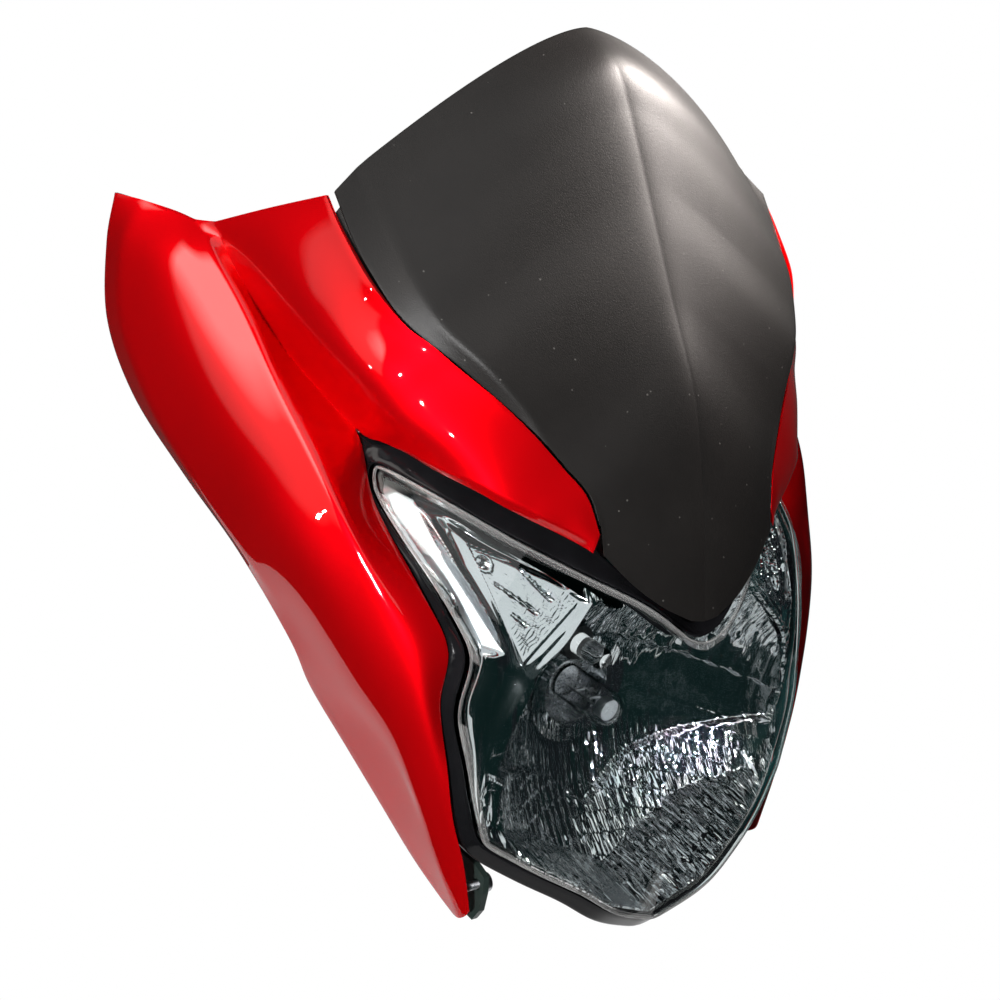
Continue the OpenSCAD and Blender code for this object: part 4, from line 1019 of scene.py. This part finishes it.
def bezelRelief(x, z, s=bezelSizes):
    band = bandAt(z)
    beyond = ease(band - 1.2, band + 0.6, x)*ease(43, 46, z)
    inside = insideDistance(x, z, triangle)
    plateau = ease(-0.6, 0.6, inside)
    groove = ease(0, 5, band - x)*ease(0, 5, -inside)*ease(38, 52, z)*(1 - ease(84, 90, z))
    k = 2*math.pi/s["stipplePitch"]
    dots = np.cos(k*(x + 0.35*np.sin(z*0.9)))*np.cos(k*(z + 0.35*np.sin(x*1.1)))
    h = s["plateau"]*plateau + s["stipple"]*dots*ease(0.8, 2.4, inside) - s["groove"]*groove*(1 - beyond)
    for a, b in slots:
        h = h - s["slotDepth"]*(1 - ease(s["slotHalf"]*0.4, s["slotHalf"], segmentDistance(x, z, a, b)))
    hx, hz = s["holeAt"]
    away = np.hypot(x - hx, z - hz)
    return h - 4*(1 - ease(s["holeR"]*0.75, s["holeR"], away)) + 0.35*np.exp(-((away - 2.9)/0.5)**2)


def makeBezel(name, side, sizes=bezelSizes):
    e = np.array([[x, bowlDepth(float(x), z + 60.0, relief=False) - sizes["air"], z + 60.0]
                  for x, z in bezelEdge])
    sd = np.array(bezelSide, float) + tipPlace
    tp = np.concatenate([[e[-1]], np.array(bezelTop, float) + tipPlace])
    t, s = np.linspace(1, 0, sizes["rows"] + 1), np.linspace(0, 1, sizes["cols"] + 1)
    m, o = curveAt(e, t), curveAt(sd, t)
    b, u = curveAt(np.array([e[0], sd[0]]), s), curveAt(tp, s)
    g = patchGrid(m, o, b, u, t, s)
    fade = (ease(0, 0.03, s)*(1 - ease(0.97, 1, s)))[None]*(1 - ease(0.98, 1, t))[:, None]
    x, y, z = [g[:, :, k] for k in range(3)]
    g[:, :, 1] = y + (bezelPlanes(x, y, z) - bezelRelief(x, z) - y)*fade
    obj = makeObject(name, g.reshape(-1, 3)*np.array([side, 1, 1]), gridFaces(*g.shape[:2]))
    tidyNormals(obj, awayFrom=(side*80, 500, 40))
    addWall(obj, sizes["wall"])
    finishPiece(obj, 35)
    return obj


# the flat band has its own satin chrome
def paintBand(obj, side, s=bezelSizes):
    x, y, z = (faceCenters(obj)*1000).T
    out = x*side - bandAt(z)
    paintFaces(obj, bandChrome, (out > 0.2) & (out < s["bandW"] - 0.3) & (z > bandLine[-1][1] - 0.7))


def place(obj, slot, material, *nodes):
    obj.data.materials.clear()
    obj.data.materials.append(material)
    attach(obj, "root")
    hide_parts(*nodes)


place(makeVisor(), "visor_black", visorBlack, "visor")
print("visor made")
place(makeCowl("sideCowlShellRight", -1), "cowl_red", red, "side_cowl_right")
place(makeCowl("sideCowlShellLeft", 1), "cowl_red", red, "side_cowl_left")
print("side cowls made")
lensShell = joinPieces("lensShell", [makeLens(), *makeRimBeads()])
place(lensShell, "lens_clear", clearLens, "lens")
paintRim(lensShell)
place(makeHousing(), "housing_black", glossBlack, "lamp_housing")
print("lens and housing made")
place(makeReflector(), "reflector_chrome", bowlChrome, "reflector")
for side, name, nodeName in ((-1, "earBezelRight", "ear_bezel_right"), (1, "earBezelLeft", "ear_bezel_left")):
    bezel = makeBezel(name, side)
    place(bezel, "bezel_chrome", bezelChrome, nodeName)
    paintBand(bezel, side)
print("reflector and bezels made")


# pan-head screws with a hexagon socket, set on points that carry their own axis
screwSizes = {"headR": 4.4, "headH": 2.6, "edge": 0.5, "socketR": 1.7, "socketH": 1.5, "shankR": 2.0,
              "pitch": 0.7, "thread": 0.22}
screwSets = {
    "stay_screws": (12.0, [((29, -0.6, 51), (0, 1, 0)), ((-29, -0.6, 51), (0, 1, 0))]),
    "visor_screws": (17.0, [((50.77, 15.2, 183.09), (0, 1, 0)), ((-50.77, 15.2, 183.09), (0, 1, 0))]),
    "cowl_screws": (15.0, [((116.81, 15.2, 158.83), (0, 1, 0)), ((-116.81, 15.2, 158.83), (0, 1, 0))]),
    "tip_screws": (11.5, [((75.3, -107.72, -63.4), (-1, 0, 0)), ((-75.3, -107.72, -63.4), (1, 0, 0)),
                          ((66, -16.9, -51), (0, -1, 0)), ((-66, -16.9, -51), (0, -1, 0))])}


# one screw, head top at zero and shank down: turned rings with a hexagon socket and a round thread
def screwProfile(length, s=screwSizes):
    rings = [(0.0, -s["socketH"], 1), (s["socketR"], -s["socketH"], 1), (s["socketR"], -0.15, 1),
             (s["socketR"] + 0.15, 0.0, 1), (s["headR"] - s["edge"], 0.0, 0), (s["headR"] - 0.15, -0.15, 0),
             (s["headR"], -s["edge"], 0), (s["headR"], -s["headH"], 0), (s["shankR"], -s["headH"], 0)]
    z = -s["headH"] - 1.0
    while z > -length + 1.0:
        rings += [(s["shankR"], z, 0), (s["shankR"] - s["thread"], z - s["pitch"]/2, 0)]
        z -= s["pitch"]
    return rings + [(s["shankR"], -length + 0.5, 0), (s["shankR"] - 0.5, -length, 0), (0.0, -length, 0)]


def screwMesh(name, length, sides=24):
    a = np.linspace(0, 2*math.pi, sides, endpoint=False)
    hexagon = math.cos(math.pi/6)/np.cos((a % (math.pi/3)) - math.pi/6)
    verts = [np.stack([r*np.cos(a)*(hexagon if six else 1), r*np.sin(a)*(hexagon if six else 1), 0*a + z], 1)
             for r, z, six in screwProfile(length)]
    obj = makeObject(name, np.concatenate(verts), gridFaces(len(verts), sides, closed=True))
    tidyNormals(obj)
    bpy.context.scene.collection.objects.unlink(obj)
    return obj


def screwTree():
    tree, groupIn, groupOut = nodeTree("screwsOnPoints", [
        ("Screw", "NodeSocketObject", None), ("Scale", "NodeSocketFloat", 1.0),
        ("Material", "NodeSocketMaterial", None)])
    axis = tree.nodes.new("GeometryNodeInputNamedAttribute")
    axis.data_type = "FLOAT_VECTOR"
    axis.inputs["Name"].default_value = "axis"
    turn = tree.nodes.new("FunctionNodeAlignRotationToVector")
    turn.axis = "Z"
    shape = tree.nodes.new("GeometryNodeObjectInfo")
    spread = tree.nodes.new("GeometryNodeInstanceOnPoints")
    for source, target in ((axis.outputs["Attribute"], turn.inputs["Vector"]),
                           (groupIn.outputs["Screw"], shape.inputs["Object"]),
                           (groupIn.outputs["Geometry"], spread.inputs["Points"]),
                           (shape.outputs["Geometry"], spread.inputs["Instance"]),
                           (turn.outputs["Rotation"], spread.inputs["Rotation"]),
                           (groupIn.outputs["Scale"], spread.inputs["Scale"])):
        tree.links.new(source, target)
    endTree(tree, groupIn, groupOut, spread.outputs["Instances"])
    return tree


screwNodes = screwTree()
for nodeName, (length, spots) in screwSets.items():
    mesh = bpy.data.meshes.new(nodeName + "Set")
    mesh.from_pydata([tuple(v*0.001 for v in p) for p, _ in spots], [], [])
    axes = mesh.attributes.new("axis", "FLOAT_VECTOR", "POINT")
    for slot, (_, direction) in zip(axes.data, spots):
        slot.vector = direction
    obj = linkObject(nodeName + "Set", mesh)
    one = screwMesh(nodeName + "One", length)
    applyTree(obj, screwNodes, {"Screw": one, "Scale": 1.0, "Material": steel})
    bpy.data.objects.remove(one)
    place(obj, "screw_steel", steel, nodeName)
print("screws set")


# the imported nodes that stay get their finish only
kept = {"lens_seal": rubber, "bulb_glass": clearGlass, "bulb_filaments": steel, "bulb_base": bulbMetal,
        "bulb_clip": steel, "dust_boot": rubber, "pilot_bulb": clearGlass, "pilot_socket": socketBlack,
        "cowl_stay": stayPaint, "tip_stay_right": tipPlastic, "tip_stay_left": tipPlastic,
        "mount_grommets": rubber, "mount_collars": steel}
for nodeName, material in kept.items():
    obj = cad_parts[nodeName]
    obj.data.materials.clear()
    obj.data.materials.append(material)
print("inner pieces finished")


# studio: pale table, white background, and a dark room that the glossy faces reflect
studio = {"aim": (-0.05, -0.02, 0.08), "tableX": (-0.36, 0.7), "tableY": (-0.5, 0.95), "tableZ": -0.6,
          "tableBack": [(0.16, 0.02), (0.34, 0.40)], "tableRight": [(0.10, 0.0), (0.22, 0.75)],
          "behind": (0.613, 0.706, -0.354), "boxEdge": 0.10, "rampLimit": 10.0}


def stagePlane(name, corners, mat):
    mesh = bpy.data.meshes.new(name)
    mesh.from_pydata(corners, [], [(0, 1, 2, 3)])
    obj = linkObject(name, mesh)
    mesh.materials.append(mat)
    return obj


# the camera sees the table white; glossy faces see it white only at its back and its right
def addFloor(s=studio):
    mat, nodes, links, shader = newMaterial("paleTable")
    setInputs(shader, {"Base Color": (0.8, 0.8, 0.8, 1), "Roughness": 0.9})
    path = nodes.new("ShaderNodeLightPath")
    glow = nodes.new("ShaderNodeEmission")
    setInputs(glow, {"Color": (1, 1, 1, 1), "Strength": 1.0})
    split = parts(nodes, links, objectCoords(nodes))
    lit = calc(nodes, links, "MAXIMUM", ramp(nodes, links, split["Y"], s["tableBack"]),
               ramp(nodes, links, split["X"], s["tableRight"]))
    seen = calc(nodes, links, "MULTIPLY_ADD", path.outputs["Is Glossy Ray"], lit,
                path.outputs["Is Camera Ray"])
    mixSurface(nodes, links, seen, shader.outputs["BSDF"], glow.outputs["Emission"])
    (west, east), (south, north), z = s["tableX"], s["tableY"], s["tableZ"]
    stagePlane("studioTable", [(west, south, z), (east, south, z), (east, north, z), (west, north, z)], mat)


# a cloth-fronted box: brighter on top, with soft edges
def addSoftBox(name, direction, distance, left, right, low, high, levels, color):
    mat, nodes, links, shader = newMaterial(name)
    nodes.remove(shader)
    split = parts(nodes, links, objectCoords(nodes))
    w, h, soft = (right - left)/2, (high - low)/2, studio["boxEdge"]

    def edge(axis, half):
        size = calc(nodes, links, "ABSOLUTE", split[axis])
        return ramp(nodes, links, size, [(half - soft, 1.0), (half, 0.0)])

    level = spanRamp(nodes, links, split["Y"], -h, h, levels)
    strength = calc(nodes, links, "MULTIPLY", level, edge("X", w))
    strength = calc(nodes, links, "MULTIPLY", strength, edge("Y", h))
    glow = nodes.new("ShaderNodeEmission")
    setInputs(glow, {"Color": (*color, 1)})
    links.new(calc(nodes, links, "MULTIPLY", strength, studio["rampLimit"]), glow.inputs["Strength"])
    links.new(glow.outputs["Emission"], nodes["Material Output"].inputs["Surface"])
    obj = stagePlane(name, [(-w, -h, 0), (w, -h, 0), (w, h, 0), (-w, h, 0)], mat)
    toward = Vector(direction).normalized()
    across = Vector((0, 0, 1)).cross(toward).normalized()
    up = toward.cross(across)
    center = Vector(studio["aim"]) + toward*distance + across*(left + right)/2 + up*(low + high)/2
    obj.matrix_world = Matrix.Translation(center) @ Matrix((across, up, toward)).transposed().to_4x4()


# a square lamp, by its own brightness
def addLamp(name, direction, distance, size, radiance):
    light = bpy.data.lights.new(name, "AREA")
    light.shape = "RECTANGLE"
    light.size, light.size_y = size, size
    light.energy = radiance*math.pi*size*size
    obj = linkObject(name, light)
    toward = Vector(direction).normalized()
    obj.location = Vector(studio["aim"]) + toward*distance
    obj.rotation_euler = (-toward).to_track_quat("-Z", "Y").to_euler()


def addSpot(name, place, aim, power, radius, cone, blend, color):
    light = bpy.data.lights.new(name, "SPOT")
    light.energy = power
    light.shadow_soft_size = radius
    light.spot_size = rad(cone)
    light.spot_blend = blend
    light.color = color
    obj = linkObject(name, light)
    obj.location = place
    obj.rotation_euler = (Vector(aim) - Vector(place)).to_track_quat("-Z", "Y").to_euler()


# white to the camera and through clear faces; dark, with teal behind the object, in glossy faces
def addWorld(s=studio):
    world = bpy.data.worlds.new("studio")
    bpy.context.scene.world = world
    world.use_nodes = True
    nodes, links = world.node_tree.nodes, world.node_tree.links
    back = nodes["Background"]
    direction = nodes.new("ShaderNodeTexCoord").outputs["Generated"]
    room = ramp(nodes, links, parts(nodes, links, direction)["X"],
                [(0.0, (0.006, 0.016, 0.015)), (0.30, (0.010, 0.011, 0.013))])
    toward = nodes.new("ShaderNodeVectorMath")
    toward.operation = "DOT_PRODUCT"
    toward.inputs[1].default_value = s["behind"]
    links.new(direction, toward.inputs[0])
    teal = ramp(nodes, links, toward.outputs["Value"], [(0.55, 0.0), (0.95, (0.006, 0.050, 0.046))])
    path = nodes.new("ShaderNodeLightPath")
    shown = nodes.new("ShaderNodeMix")
    shown.data_type = "RGBA"
    shown.blend_type = "ADD"
    links.new(path.outputs["Is Glossy Ray"], shown.inputs["Factor"])
    links.new(room, shown.inputs["A"])
    links.new(teal, shown.inputs["B"])
    links.new(shown.outputs["Result"], back.inputs["Color"])
    white = nodes.new("ShaderNodeBackground")
    setInputs(white, {"Color": (1, 1, 1, 1)})
    seen = calc(nodes, links, "MAXIMUM", path.outputs["Is Camera Ray"], path.outputs["Is Transmission Ray"])
    mixSurface(nodes, links, seen, back.outputs["Background"], white.outputs["Background"], "World Output")


addFloor()
addWorld()
addSoftBox("softBoxLeft", (-0.88, 0.34, 0.30), 1.2, -0.26, 0.95, -0.50, 0.56,
           [(0.0, 0.05), (0.42, 0.08), (0.70, 0.50), (1.0, 0.50)], (1, 0.95, 0.90))
addLamp("overhead", (-0.30, -0.28, 0.91), 1.0, 1.15, 0.95)
addLamp("mainLamp", (-0.78, -0.60, 0.18), 0.95, 0.024, 5400)
addLamp("smallFlash", (-1.0, -0.02, -0.03), 0.95, 0.022, 220)
addSpot("visorSpot", (0.47, -0.02, 0.57), (0.045, -0.03, 0.238), 92, 0.10, 21, 1.0, (1, 0.91, 0.86))
bpy.context.scene.view_settings.view_transform = "Standard"
print("studio lit")
